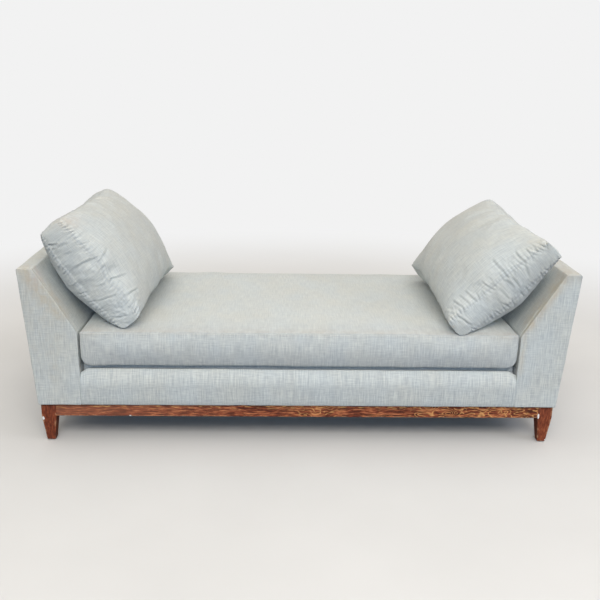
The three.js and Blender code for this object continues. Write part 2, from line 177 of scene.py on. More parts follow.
def remap(tree, value, low, high, to_low=0.0, to_high=1.0, smooth=False):
    """Carries the span from low to high over to the span from to_low to to_high and stops at its ends."""
    kind = {"interpolation_type": "SMOOTHSTEP"} if smooth else {}
    return node(tree, "ShaderNodeMapRange", kind, Value=value, From_Min=low, From_Max=high, To_Min=to_low,
                To_Max=to_high).outputs["Result"]


def blend_colours(tree, share, first, second, kind="MIX"):
    """The first colour where the share is 0 and the second, or their product, where it is 1."""
    return node(tree, "ShaderNodeMix", {"data_type": "RGBA", "blend_type": kind}, Factor=share, _6=first,
                _7=second).outputs[2]


def new_material(name):
    """A material without nodes, and its node tree."""
    made = bpy.data.materials.new(name)
    made.use_nodes = True
    made.node_tree.nodes.clear()
    return made, made.node_tree


def object_place(tree):
    """The place in metres on the piece, for patterns that run through it."""
    return node(tree, "ShaderNodeTexCoord").outputs["Object"]


# %% [markdown]
# Light decides how cloth reads. The photograph has broad, slightly warm light from above and cooler
# light from the front and the right, with soft shadows. A sky that fades from warm white overhead to
# black at the horizon gives the broad part, and three wide lamps give the rest. Their strengths come
# from a fit: the brightness of the seat, fronts, arms and pillows was measured with one light on at a
# time, and the sum nearest to the photograph was taken. A fourth lamp stands low behind the settee and
# lights its back, which the photograph does not show. The camera itself sees an even near-white behind
# the settee, so the sky's fade never shows.

# %% Sky
BACKDROP = (0.888, 0.888, 0.888, 1)
SKY_TOP, SKY_LOW = (1.19, 1.13, 1.06, 1), (0.0, 0.0, 0.0, 1)
SKY_START = 0.53  # 0 is straight down, 0.5 the horizon and 1 straight up
world = bpy.data.worlds.new("studio")
bpy.context.scene.world = world
world.use_nodes = True
sky = world.node_tree
sky.nodes.clear()
direction = node(sky, "ShaderNodeTexCoord").outputs["Generated"]
height = node(sky, "ShaderNodeSeparateXYZ", Vector=direction).outputs["Z"]
sky_fade = colour_ramp(sky, remap(sky, height, -1.0, 1.0),
                       [(0.0, SKY_LOW), (SKY_START, SKY_LOW), (1.0, SKY_TOP)])
seen = node(sky, "ShaderNodeLightPath").outputs["Is Camera Ray"]
glow = node(sky, "ShaderNodeBackground", Color=blend_colours(sky, seen, sky_fade, BACKDROP), Strength=1.0)
node(sky, "ShaderNodeOutputWorld", Surface=glow.outputs["Background"])
bpy.context.scene.view_settings.view_transform = "Standard"
print("sky nodes:", len(sky.nodes))

# %% Lamps
# Each lamp: place, the point it faces, width and length, power in watts, colour.
LAMPS = {
    "high": ((0.0, -6.2, 5.6), (0.0, 0.0, 0.4), (5.6, 2.8), 365, (1.0, 0.95, 0.88)),
    "front": ((0.0, -8.0, 2.3), (0.0, 0.0, 0.4), (4.6, 2.6), 185, (0.52, 0.72, 1.0)),
    "right": ((4.2, -2.2, 2.6), (0.0, 0.0, 0.4), (2.0, 1.8), 40, (0.87, 0.89, 1.0)),
    "back": ((0.0, 7.0, 1.3), (0.0, 0.0, 0.4), (4.6, 1.6), 90, (1.0, 0.98, 0.95)),
}
for lamp_name, (place, target, size, power, colour) in LAMPS.items():
    lamp = bpy.data.lights.new(lamp_name, "AREA")
    lamp.shape, lamp.size, lamp.size_y = "RECTANGLE", size[0], size[1]
    lamp.energy, lamp.color = power, colour
    lamp_object = added(lamp_name, lamp)
    aim = Vector(target) - Vector(place)
    lamp_object.location, lamp_object.visible_camera = place, False
    lamp_object.rotation_euler = aim.to_track_quat("-Z", "Y").to_euler()
print("lamps:", ", ".join(LAMPS))

# %% Floor
# A wide pale sheet that is not part of the settee, so it is declared as stage. Far from the settee its
# paint fades into a glow as bright as the backdrop, so no edge or horizon shows. Light thrown up from a
# pale floor would flatten the fronts, so only the camera sees it pale and the rest meets a dim colour.
FLOOR_HALF, FADE_START, FADE_END = 14.0, 1.5, 3.8
FLOOR_THROWN = (0.18, 0.17, 0.16, 1)
FLOOR_TONES = [(0.3, (0.62, 0.62, 0.61, 1)), (0.7, (0.65, 0.65, 0.64, 1))]
floor_mesh = bpy.data.meshes.new("floor")
SQUARE = (-1, -1), (1, -1), (1, 1), (-1, 1)
floor_mesh.from_pydata([(x * FLOOR_HALF, y * FLOOR_HALF, 0) for x, y in SQUARE], [], [(0, 1, 2, 3)])
floor = added("floor", floor_mesh)
floor_finish, floor_tree = new_material("floor_paint")
floor_mesh.materials.append(floor_finish)
floor_place = object_place(floor_tree)
floor_cloud = node(floor_tree, "ShaderNodeTexNoise", Vector=floor_place, Scale=1.5, Detail=3.0)
floor_tone = colour_ramp(floor_tree, floor_cloud.outputs[0], FLOOR_TONES)
watched = node(floor_tree, "ShaderNodeLightPath").outputs["Is Camera Ray"]
paint = node(floor_tree, "ShaderNodeBsdfDiffuse",
             Color=blend_colours(floor_tree, watched, FLOOR_THROWN, floor_tone))
far_glow = node(floor_tree, "ShaderNodeEmission", Color=BACKDROP, Strength=watched)
far = node(floor_tree, "ShaderNodeVectorMath", {"operation": "LENGTH"}, Vector=floor_place).outputs["Value"]
fade = remap(floor_tree, far, FADE_START, FADE_END, smooth=True)
blended = node(floor_tree, "ShaderNodeMixShader", Fac=fade, _1=paint.outputs[0], _2=far_glow.outputs[0])
node(floor_tree, "ShaderNodeOutputMaterial", Surface=blended.outputs[0])
floor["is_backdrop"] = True
print("side of the floor in metres:", 2 * FLOOR_HALF)

# %% [markdown]
# Every new piece here is a few grids of points. A grid comes from a formula with two parameters, such
# as how far round an outline and how far along the depth. Where two grids share an edge their points
# fall on the same places and are joined, which leaves one closed skin. Each grid also carries cloth
# coordinates: the first runs across the ribs of the weave and the second along them, both in metres,
# so that the same cloth has the same scale on every piece. A shift of its own gives each piece another
# part of the roll, as when cloth is cut.

# %% Grids into one closed mesh
def grid_faces(rows, columns, first):
    """Four-cornered faces of a grid of points that is numbered row after row from `first`."""
    index = first + np.arange(rows * columns).reshape(rows, columns)
    return np.stack([index[:-1, :-1], index[:-1, 1:], index[1:, 1:], index[1:, :-1]], -1).reshape(-1, 4)


ROLL_SHIFT, SHIFTS = np.array([0.731, 0.417]), 17
JOIN = 0.02 * MM


def make_piece(name, patches, finish):
    """Each patch is (points, weave, form): places, cloth coordinates and the form's own parameters."""
    faces, first = [], 0
    for points, _, _ in patches:
        faces.append(grid_faces(*points.shape[:2], first))
        first += points.shape[0] * points.shape[1]
    faces = np.concatenate(faces)
    points, weave, form = (np.concatenate([patch[k].reshape(-1, patch[k].shape[-1]) for patch in patches])
                           for k in range(3))
    weave += ROLL_SHIFT * (len(bpy.data.objects) % SHIFTS)
    mesh = bpy.data.meshes.new(name)
    mesh.from_pydata(points, [], faces)
    mesh.uv_layers.new(name="weave").data.foreach_set("uv", weave[faces.ravel()].ravel())
    mesh.attributes.new("form", "FLOAT_VECTOR", "POINT").data.foreach_set("vector", form.ravel())
    skin = bmesh.new()
    skin.from_mesh(mesh)
    bmesh.ops.remove_doubles(skin, verts=skin.verts, dist=JOIN)
    bmesh.ops.recalc_face_normals(skin, faces=skin.faces)
    open_edges = sum(not edge.is_manifold for edge in skin.edges)
    skin.to_mesh(mesh)
    skin.free()
    mesh.polygons.foreach_set("use_smooth", np.ones(len(mesh.polygons), bool))
    mesh.materials.append(finish)
    piece = added(name, mesh)
    print(f"{name}: {len(mesh.polygons)} faces, open edges: {open_edges}")
    return piece


# %% Reading and moving points
def read(layer, key, width=3, kind=np.float32):
    """One value of every item of a layer, as an array with one row each."""
    values = np.empty(len(layer) * width, kind)
    layer.foreach_get(key, values)
    return values.reshape(-1, width).astype(float)


def points_of(piece):
    """The place of each point, one row each."""
    return read(piece.data.vertices, "co")


def normals_of(piece):
    """The outward direction of the skin at each point, one long."""
    return read(piece.data.vertex_normals, "vector")


def form_of(piece):
    """The parameters of the formula that each point came from."""
    return read(piece.data.attributes["form"].data, "vector")


def move_points(piece, points):
    """Puts the points of a piece in new places."""
    piece.data.vertices.foreach_set("co", points.astype(np.float32).ravel())
    piece.data.update()


def soft_field(points, shortest, longest, seed, waves=24):
    """A smooth random field of about -1 to 1: a sum of sine waves with seeded directions and lengths."""
    chance = np.random.default_rng(seed)
    directions = chance.normal(size=(waves, 3))
    directions /= np.linalg.norm(directions, axis=1, keepdims=True)
    lengths = chance.uniform(shortest, longest, waves)
    phases = chance.uniform(0, 2 * np.pi, waves)
    return np.sin(2 * np.pi * points @ (directions.T / lengths) + phases).sum(axis=1) / np.sqrt(waves)


def soften(piece, height, shortest, longest, seed):
    """Moves each point along its normal by a smooth random field, as padding under cloth does."""
    points = points_of(piece)
    out = height * soft_field(points, shortest, longest, seed)
    move_points(piece, points + normals_of(piece) * out[:, None])


# %% [markdown]
# Old pale cloth is never even. The record of wear is painted as four marks on the points of each piece: tan
# where hands rubbed it, rose where it was stained, grey where it is dirty, and "worn", where the slubs of
# the yarn are rubbed flat. The grey also serves as painted shade: in the seams, in the recess of the deck,
# in the cracks beside the arms and along a few rounded edges that catch too much light. The cloth's
# material reads them and breaks them up with noise, so they have no clean outline.

# %% Marks of wear and painted shade
TAN, ROSE, GREY, WORN = range(4)


def mark(piece, spots, worn=0.0, dirt_and_shade=0.0):
    """Each spot is (place, reach, kind, strength): a bell-shaped mark that fades with the distance. "worn"
    and the grey amount after it are amounts for the whole piece or for each of its points; the grey is dirt
    on some pieces and painted shade on others."""
    points = points_of(piece)
    amounts = np.zeros((len(points), 4))
    amounts[:, WORN], amounts[:, GREY] = worn, dirt_and_shade
    for place, reach, kind, strength in spots:
        distance = (points - np.array(place)) / np.array(reach)
        amounts[:, kind] += strength * np.exp(-(distance ** 2).sum(axis=1))
    layer = piece.data.attributes.new("marks", "FLOAT_COLOR", "POINT")
    layer.data.foreach_set("color", np.clip(amounts, 0, 1).astype(np.float32).ravel())


# %% [markdown]
# The cloth is a plain weave with thick slubby yarns in pale grey-green and blue-grey. From near it is a
# relief of crossing yarns, and from far it is long faint streaks along the ribs. Real cloth could be
# modelled yarn by yarn, but a settee has about a million crossings, so the relief is a bump made of two
# sine waves and stretched noise, and the streaks are the same noise in the colour.

# %% Sums, noise and endings
def math_node(tree, operation, *values):
    """One sum: add, multiply, sine and so on, of sockets or plain numbers."""
    return node(tree, "ShaderNodeMath", {"operation": operation},
                **{f"_{i}": value for i, value in enumerate(values)}).outputs[0]


def plus(tree, first, second):
    return math_node(tree, "ADD", first, second)


def times(tree, first, second):
    return math_node(tree, "MULTIPLY", first, second)


def swing(tree, noise, amount):
    """Noise, which lies around 0.5, made to lie around 0 and scaled."""
    return times(tree, math_node(tree, "SUBTRACT", noise, 0.5), amount)


def bump(tree, height, strength, distance):
    """Relief in the light only: a height from 0 to 1 stands for this real distance."""
    return node(tree, "ShaderNodeBump", Height=height, Strength=strength, Distance=distance).outputs[0]


def finish_material(tree, **sockets):
    """One principled shader with these sockets, joined to the material's output."""
    shader = node(tree, "ShaderNodeBsdfPrincipled", **sockets)
    node(tree, "ShaderNodeOutputMaterial", Surface=shader.outputs[0])


def stretched_noise(tree, vector, scale, detail=2.0, roughness=0.6, flat=True):
    """Noise whose patches are about 1/scale metres long along each axis."""
    scaled = node(tree, "ShaderNodeMapping", Vector=vector, Scale=scale)
    return node(tree, "ShaderNodeTexNoise", {"noise_dimensions": "2D" if flat else "3D"},
                Vector=scaled.outputs[0], Scale=1.0, Detail=detail, Roughness=roughness).outputs[0]


def solid_noise(tree, place, scale, detail=2.0, roughness=0.5):
    """The same in three dimensions, which runs on from face to face as grain does."""
    return stretched_noise(tree, place, scale, detail, roughness, flat=False)


def crossed_sines(tree, parts, length):
    """A sine of X and a sine of Y, each with this length from crest to crest."""
    turns = 2 * math.pi / length
    return [math_node(tree, "SINE", times(tree, parts.outputs[axis], turns)) for axis in "XY"]


# %% Cloth
YARN = 1.9 * MM
RIBS, SLUBS, CLOUDS = (260.0, 15.0, 1.0), (22.0, 260.0, 1.0), (6.0, 4.0, 1.0)
TINTS, PATCHES = (7.0, 5.0, 1.0), (38.0, 30.0, 1.0)
TINGES = [(0.34, (0.970, 0.988, 1.0, 1)), (0.66, (1.0, 0.990, 0.965, 1))]
WORN_SMOOTH = 0.65  # the share of the streaks that wear takes away
# Tan and rose are stains; the grey is dirt on some pieces and painted shade on others.
STAINS_AND_SHADE = {"Red": (0.52, 0.45, 0.33, 1), "Green": (0.58, 0.45, 0.41, 1), "Blue": (0.34, 0.36, 0.38, 1)}


def weave_cloth(name, deep, pale):
    """Streaks, crossing yarns, clouds, the marks of wear and the grey of painted shade, over a rough sheen.
    """
    made, tree = new_material(name)
    cloth = node(tree, "ShaderNodeUVMap", {"uv_map": "weave"}).outputs[0]
    marks = node(tree, "ShaderNodeAttribute", {"attribute_name": "marks"})
    amounts = node(tree, "ShaderNodeSeparateColor", Color=marks.outputs["Color"])
    ribs = stretched_noise(tree, cloth, RIBS, 3.0)
    slubs = stretched_noise(tree, cloth, SLUBS, 2.0)
    clouds = stretched_noise(tree, cloth, CLOUDS, 3.0)
    kept = math_node(tree, "SUBTRACT", 1.0, times(tree, marks.outputs["Alpha"], WORN_SMOOTH))
    yarns = times(tree, plus(tree, swing(tree, ribs, 2.0), swing(tree, slubs, 1.1)), kept)
    tone = plus(tree, plus(tree, yarns, swing(tree, clouds, 0.20)), 0.5)
    colour = colour_ramp(tree, tone, [(0.0, deep), (1.0, pale)])
    tinge = colour_ramp(tree, stretched_noise(tree, cloth, TINTS, 3.0), TINGES)
    colour = blend_colours(tree, 1.0, colour, tinge, "MULTIPLY")
    uneven = remap(tree, stretched_noise(tree, cloth, PATCHES, 4.0, 0.65), 0.32, 0.68, 0.35)
    for channel, stain in STAINS_AND_SHADE.items():
        colour = blend_colours(tree, times(tree, amounts.outputs[channel], uneven), colour, stain)
    parts = node(tree, "ShaderNodeSeparateXYZ", Vector=cloth)
    crossing = times(tree, plus(tree, *crossed_sines(tree, parts, YARN)), 0.22)
    thickness = times(tree, plus(tree, ribs, slubs), 1.6)
    relief = bump(tree, plus(tree, crossing, thickness), 0.55, 0.6 * MM)
    finish_material(tree, Base_Color=colour, Roughness=0.93, Specular_IOR_Level=0.15, Sheen_Weight=0.18,
                    Sheen_Roughness=0.45, Normal=relief)
    return made


upholstery = weave_cloth("pale_woven_cloth", (0.430, 0.462, 0.470, 1), (0.660, 0.685, 0.655, 1))
print("cloth nodes:", len(upholstery.node_tree.nodes))

# %% [markdown]
# The arms, the band and the deck are flat forms with soft edges: an outline with rounded corners,
# carried through a depth. The rims are quarter rounds, which is what a padded edge under tight cloth
# settles to. A bevel modifier could do it too, but a formula gives every point its cloth coordinates.

# %% Rounded outline
def rounded_outline(corners, step=7 * MM, arc_points=7):
    """Corners are (across, up, radius), anticlockwise. An arc lies at the radius from the point that is
    that far inside both edges; its normal turns evenly from one edge's to the next edge's. Gives the
    points, their outward normals and how far round each one lies."""
    corners = np.array(corners, float)
    places, radii = corners[:, :2], corners[:, 2]
    ahead = np.roll(places, -1, axis=0) - places
    ahead /= np.linalg.norm(ahead, axis=1, keepdims=True)
    outward = np.stack([ahead[:, 1], -ahead[:, 0]], axis=1)
    before = np.roll(outward, 1, axis=0)
    agree = (before * outward).sum(axis=1)
    turn = np.arctan2(before[:, 0] * outward[:, 1] - before[:, 1] * outward[:, 0], agree)
    reach = radii * np.tan(turn / 2)
    middles = places - (before + outward) * (radii / (1 + agree))[:, None]
    points, normals = [], []
    for i in range(len(corners)):
        angle = np.linspace(0, turn[i], arc_points)[:, None]
        normal = before[i] * np.cos(angle) + np.array([-before[i, 1], before[i, 0]]) * np.sin(angle)
        following = (i + 1) % len(corners)
        start, end = places[i] + ahead[i] * reach[i], places[following] - ahead[i] * reach[following]
        count = max(2, int(np.ceil(np.linalg.norm(end - start) / step)))
        share = np.arange(1, count)[:, None] / count
        points += [middles[i] + radii[i] * normal, start + (end - start) * share]
        normals += [normal, np.repeat(outward[i:i + 1], count - 1, axis=0)]
    points, normals = np.concatenate(points + [points[0][:1]]), np.concatenate(normals + [normals[0][:1]])
    run = np.concatenate([[0], np.cumsum(np.linalg.norm(np.diff(points, axis=0), axis=1))])
    return points, normals, run


def rim_rings(edge, inward, radius, count=6):
    """Quarter round at one end of a depth: (depth, how far the outline is drawn in) from cap to side."""
    angle = np.linspace(0, np.pi / 2, count)
    return edge + inward * radius * (1 - np.cos(angle)), radius * (1 - np.sin(angle))


# %% Slab
def slab(outline, near, far, rims, crowns, to_space, step=12 * MM, cap_rings=18):
    """A solid with one outline. A cap ring lies at a share of the way from the middle to the outline and
    stands out by crown * (1 - share^2); a rim ring is drawn in by the rim's quarter round; the sides
    run straight. Cloth on the caps is laid flat, and on the sides it follows the outline."""
    points, normals, run = outline
    middle = (points.min(axis=0) + points.max(axis=0)) / 2
    patches = []
    for edge, inward, rim, crown in ((near, 1, rims[0], crowns[0]), (far, -1, rims[1], crowns[1])):
        rim_depth, drawn = rim_rings(edge, inward, rim)
        share = np.concatenate([np.linspace(0, 1, cap_rings), np.ones(len(drawn) - 1)])[:, None]
        drawn = np.concatenate([np.full(cap_rings, rim), drawn[1:]])
        depth = np.concatenate([edge - inward * crown * (1 - share[:cap_rings, 0] ** 2), rim_depth[1:]])
        ring = points[None] - normals[None] * drawn[:, None, None]
        flat = middle + share[:, :, None] * (ring - middle)
        depth = np.broadcast_to(depth[:, None], flat.shape[:2])
        patches.append((to_space(flat[..., 0], flat[..., 1], depth), flat, np.zeros(flat.shape[:2] + (3,))))
    count = max(2, int(np.ceil((far - near) / step)))
    depth = np.linspace(near + rims[0], far - rims[1], count)
    across, along = np.meshgrid(depth, run, indexing="ij")
    x, z = (np.broadcast_to(points[None, :, k], across.shape) for k in range(2))
    patches.append((to_space(x, z, across), np.stack([across, along], -1), np.zeros(across.shape + (3,))))
    return patches


def standing(side):
    """Outline in X and Z, carried along Y; side -1 mirrors it to the left."""
    return lambda across, up, depth: np.stack([side * across, depth, up], axis=-1)


def lying(across, up, depth):
    """Outline in Y and Z, carried along X."""
    return np.stack([depth, across, up], axis=-1)


# %% [markdown]
# Each arm's front and back is closed by a padded facing, sewn to the cloth that wraps the arm. The arm
# is upright inside up to the seat, then slopes outwards to a narrow flat top, and its outer face leans
# out a little all the way. A fine groove all round marks the seam.

# %% Arm facings
facing_low, facing_high = (np.array(corner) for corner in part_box("arm_facing_front_right"))
SEAT_END, UNDERSIDE, ARM_TOP, FRONT = facing_low[0], facing_low[2], facing_high[2], facing_low[1]
FACING_THICK = facing_high[1] - facing_low[1]
ARM_FOOT, ARM_REACH, ARM_TOP_INNER, KINK = 1.022, 1.067, 1.007, 0.4584
SEAM_ROUND, FACING_ROUND, FACING_CROWN, SEWN_GAP = 1.6 * MM, 3.0 * MM, 1.8 * MM, 0.15 * MM
ARM_CORNERS = [(SEAT_END, UNDERSIDE, 5 * MM), (ARM_FOOT, UNDERSIDE, 7 * MM), (ARM_REACH, ARM_TOP, 7 * MM),
               (ARM_TOP_INNER, ARM_TOP, 9 * MM), (SEAT_END, KINK, 22 * MM)]
arm_outline = rounded_outline(ARM_CORNERS)
facings = {}
for hand, side in SIDES.items():
    for end_name, end in ENDS.items():
        edges = sorted((end * -FRONT, end * (-FRONT - FACING_THICK + SEWN_GAP)))
        rims, crowns = (pair[::-end] for pair in ((FACING_ROUND, SEAM_ROUND), (FACING_CROWN, 0)))
        piece = make_piece(f"arm_facing_{end_name}_{hand}_cover",
                           slab(arm_outline, *edges, rims, crowns, standing(side), step=5 * MM), upholstery)
        soften(piece, 0.55 * MM, shortest=0.06, longest=0.30, seed=11 + side + 3 * end)
        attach(piece, "frame")
        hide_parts(f"arm_facing_{end_name}_{hand}")
        facings[end_name, hand] = piece
print("arm outline points:", len(arm_outline[0]))

# %% Hollow of an arm
def edge_normals(corners):
    """The outward normal of each straight edge of an anticlockwise outline, one long."""
    ahead = np.roll(corners, -1, axis=0) - corners
    outward = np.stack([ahead[:, 1], -ahead[:, 0]], axis=1)
    return outward / np.linalg.norm(outward, axis=1, keepdims=True)


def shrunk(corners, depths):
    """Moves each edge of an outline inward by its own depth; each new corner is where two moved edges
    cross, from the pair of line equations normal . point = offset."""
    outward = edge_normals(corners)
    offset = (outward * corners).sum(axis=1) - depths
    lines = np.stack([np.roll(outward, 1, axis=0), outward], axis=1)
    return np.linalg.solve(lines, np.stack([np.roll(offset, 1), offset], axis=1)[..., None])[..., 0]


def nearest_on_outline(points, corners):
    """For each point the nearest place on a closed outline of straight edges: along every edge the foot
    of the point, kept between the edge's ends, and of those the nearest."""
    edge = np.roll(corners, -1, axis=0) - corners
    share = ((points[:, None] - corners) * edge).sum(axis=-1) / (edge ** 2).sum(axis=-1)
    feet = corners + np.clip(share, 0, 1)[..., None] * edge
    nearest = np.linalg.norm(feet - points[:, None], axis=-1).argmin(axis=1)
    return feet[np.arange(len(points)), nearest]


ARM_EDGES = np.array([corner[:2] for corner in ARM_CORNERS])
# Depths under the bottom, outer, top, sloping and inner faces
arm_hollow = shrunk(ARM_EDGES, np.array([3, 12, 30, 30, 30]) * MM)
print("hollow corners in mm:", (arm_hollow / MM).round().tolist())

# %% Arm wraps
pad_low, pad_high = (np.array(corner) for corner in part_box("arm_inner_pad_right"))
SAME_PLACE = 0.01 * MM


def arm_wrap(side, foot, reach, depth_count=76):
    """Cloth and padding round an arm. The outer skin is the outline from under the outer face, over the
    top, to the foot of the inner face, carried along the depth; the inner skin is the nearest place on
    the hollow; four strips close the edges between them."""
    points, normals, run = arm_outline
    lowest = np.flatnonzero(np.abs(points[:-1, 1] - UNDERSIDE) < SAME_PLACE).max()
    inner_face = np.flatnonzero((points[:-1, 0] < SEAT_END + SAME_PLACE) & (points[:-1, 1] > foot)).max()
    path, outward, along = (part[lowest:inner_face + 1].copy() for part in (points, normals, run))
    path[-1, 1] = foot
    ends, drawn = rim_rings(-reach, 1, SEAM_ROUND, 4)
    depth = np.concatenate([ends, np.linspace(ends[-1], -ends[-1], depth_count)[1:-1], -ends[::-1]])
    drawn = np.concatenate([drawn, np.zeros(depth_count - 2), drawn[::-1]])
    outer = path[None] - outward[None] * drawn[:, None, None]
    inner = np.broadcast_to(nearest_on_outline(path, arm_hollow)[None], outer.shape)
    across, up_run = np.meshgrid(depth, along, indexing="ij")
    weave = np.stack([across, up_run], axis=-1)
    skins = [standing(side)(ring[..., 0], ring[..., 1], across) for ring in (outer, inner)]
    patches = [(skin, weave, np.zeros_like(skin)) for skin in skins]
    for cut in (np.s_[0], np.s_[-1], np.s_[:, 0], np.s_[:, -1]):
        strip = np.stack([skins[0][cut], skins[1][cut]])
        patches.append((strip, np.stack([weave[cut]] * 2), np.zeros_like(strip)))
    return patches


wraps = {}
for hand, side in SIDES.items():
    piece = make_piece(f"arm_wrap_{hand}", arm_wrap(side, pad_low[2], pad_high[1]), upholstery)
    soften(piece, 0.7 * MM, shortest=0.07, longest=0.35, seed=31 + side)
    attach(piece, "frame")
    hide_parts(f"arm_inner_pad_{hand}", f"arm_outer_pad_{hand}")
    wraps[hand] = piece

# %% [markdown]
# Between the arms a padded band covers the long rail in front, and another one the rail at the back.
# The padding swells over the rail and rolls over softly at the top, and beside the arms it is pulled
# down, which leaves a small dark corner under the cushion. All three are added to a plain outline where
# it is carried along the settee. The padded platform that carries the cushion lies behind them.

# %% Bands
band_low, band_high = (np.array(corner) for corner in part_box("band_front"))
BAND_TOP = band_high[2] - 4.0 * MM
BAND_SWELL, SWELL_LEAN, ROLL_HEIGHT, ROLL_SHARE = 5.0 * MM, 1.4, 66 * MM, 0.74
FOOT_HEIGHT, FOOT_SHARE = 30 * MM, 0.18
END_REACH, END_DIP, DIP_POWER = 32 * MM, 17 * MM, 1.3
band_outline = rounded_outline([(band_low[1], band_low[2], 3 * MM), (band_high[1], band_low[2], 1.5 * MM),
                                (band_high[1], BAND_TOP, 4 * MM), (band_low[1], BAND_TOP, 14 * MM)], 4 * MM)


def padded_band(end):
    """Carries the outline along X. The thickness shrinks by a share times the square of the height in
    the roll, and in the same way near the foot; the front swells by a sine of a power of the height, and
    the top dips by a power of how near the arm is. End -1 is the front band and 1 its mirror image."""
    back, low = band_high[1], band_low[2]

    def place(across, up, depth):
        share = (up - low) / (BAND_TOP - low)
        in_roll = np.clip(1 - (BAND_TOP - up) / ROLL_HEIGHT, 0, 1)
        in_foot = np.clip(1 - (up - low) / FOOT_HEIGHT, 0, 1)
        thick = (back - across) * (1 - ROLL_SHARE * in_roll ** 2 - FOOT_SHARE * in_foot ** 2)
        swell = BAND_SWELL * np.sin(np.pi * np.clip(share, 0, 1) ** SWELL_LEAN)
        thick += swell * (back - across) / (back - band_low[1])
        to_arm = np.minimum(depth - band_low[0], band_high[0] - depth)
        dip = END_DIP * np.clip(1 - to_arm / END_REACH, 0, 1) ** DIP_POWER * share ** 3
        return np.stack([depth, -end * (back - thick), up - dip], axis=-1)
    return place


bands = {}
for end_name, end in ENDS.items():
    piece = make_piece(f"band_{end_name}_cover",
                       slab(band_outline, band_low[0], band_high[0], (1.4 * MM, 1.4 * MM), (0, 0),
                            padded_band(end), step=7 * MM, cap_rings=4), upholstery)
    soften(piece, 0.6 * MM, shortest=0.07, longest=0.40, seed=51 + end)
    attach(piece, "frame")
    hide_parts(f"band_{end_name}")
    bands[end_name] = piece

# %% Deck
DECK_SETBACK, DECK_CORNER, TUCK_THICK = 12 * MM, 26 * MM, 1.0 * MM
deck_low, deck_high = (np.array(corner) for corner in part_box("deck_pad"))
deck_half = -deck_low[:2] - (1.5 * TUCK_THICK, DECK_SETBACK)
deck_outline = rounded_outline([(*(deck_half * corner), DECK_CORNER) for corner in SQUARE], 24 * MM)


def upright(across, along, up):
    """Outline in X and Y, carried up Z."""
    return np.stack([across, along, up], axis=-1)


deck_cover = make_piece("deck_cover",
                        slab(deck_outline, deck_low[2], deck_high[2], (2 * MM, 11 * MM), (0, 0), upright,
                             step=5 * MM, cap_rings=20), upholstery)
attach(deck_cover, "frame")
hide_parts("deck_pad")

# The arm's cloth goes on down between the arm and the deck, where it is pulled tight out of sight
tuck_near, tuck_far = SEAT_END - 1.2 * TUCK_THICK, SEAT_END - 0.2 * TUCK_THICK
tuck_foot, tuck_head = deck_low[2], pad_low[2] + 1 * MM
tuck_corners = (tuck_near, tuck_foot), (tuck_far, tuck_foot), (tuck_far, tuck_head), (tuck_near, tuck_head)
tuck_outline = rounded_outline([(*corner, 0.4 * TUCK_THICK) for corner in tuck_corners], 5 * MM, 4)
tucks = {}
for hand, side in SIDES.items():
    piece = make_piece(f"arm_tuck_{hand}",
                       slab(tuck_outline, -deck_high[1], deck_high[1], (0.2 * TUCK_THICK, 0.2 * TUCK_THICK),
                            (0, 0), standing(side), step=12 * MM, cap_rings=4), upholstery)
    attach(piece, "frame")
    tucks[hand] = piece

# %% [markdown]
# A boxed cushion has two panels and a strip, the boxing, sewn between them. Filling makes the panels
# crown and, because cloth does not stretch, draws the sides in between the corners. All of that is one
# formula of two parameters, u and v, that run from -1 to 1 across a panel, and a third, t, that runs
# down the boxing from the upper seam to the lower one. The three stay on the points as "form", so that
# later steps know where on the cushion a point lies.

# %% Panels
CURL_START, SAG_REACH = 0.93, 70 * MM


def crowded(count, crowding):
    """Steps from -1 to 1 that lie closer together near both ends, where the seams are."""
    even = np.linspace(-1, 1, count + 1)
    return even + crowding * np.sin(np.pi * even) / np.pi


def rise(t):
    """Quarter-circle rise from 0 at a seam to 1 where the crown is level."""
    return np.sqrt(np.clip(1 - (1 - np.minimum(t, 1)) ** 2, 0, 1))


def seam_sag(size, u, v):
    """How far the upper panel hangs over the front boxing: a sum of bells of the place along the front
    seam, which fades over the panel by a bell of the distance from that seam."""
    hang = sum(depth * bell((u - place) / width) for place, width, depth in size["sag"])
    return hang * bell((1 + v) * size["wide"] / 2 / SAG_REACH)


def corner_rounding(size, u, v):
    """The four corners' own values, blended by the shares (1 +- u) / 2 and (1 +- v) / 2."""
    (low_low, low_high), (high_low, high_high) = size["rounding"]
    low, high = (1 - v) / 2, (1 + v) / 2
    return ((low_low * low + low_high * high) * (1 - u) + (high_low * low + high_high * high) * (1 + u)) / 2


def panel(size, u, v, up):
    """Upper or lower panel: a rectangle whose sides are drawn in by a parabola and whose corners round
    off; its height is half the boxing plus the crown times the rises from both pairs of sides. The lower
    panel lifts towards its two short ends by a quarter circle, which rounds the lower corners, and its
    front seam stands forward by a parabola, so that the front boxing leans back."""
    corner = corner_rounding(size, u, v) * (u * v) ** 6
    x = u * (size["long"] / 2 - size["draw_short"] * (1 - v ** 2) * u ** 2 - corner)
    y = v * (size["wide"] / 2 - size["draw_long"] * (1 - u ** 2) * v ** 2 - corner)
    half = (size["boxing"] + (size["corner_boxing"] - size["boxing"]) * (u * v) ** 2) / 2
    short_rise = rise((1 - np.abs(u)) * size["long"] / 2 / size["run_short"])
    lift = (short_rise * rise((1 - np.abs(v)) * size["wide"] / 2 / size["run_long"])) ** size["power"]
    half = half - (seam_sag(size, u, v) if up > 0 else 0)
    if up < 0:
        y = y - size["front_lean"] * (1 - u ** 2) * ((1 - v) / 2) ** 4
    under, crown = (0, size["crown"]) if up > 0 else (size["under"], size["belly"])
    shrink = (1 - 2 * under / size["long"], 1 - 2 * under / size["wide"])
    if up < 0:
        half = half - size["end_lift"] * (1 - rise((1 - np.abs(u)) * size["long"] / 2 / size["end_run"]))
    return np.stack([x * shrink[0], y * shrink[1], up * (half + crown * lift)], axis=-1)


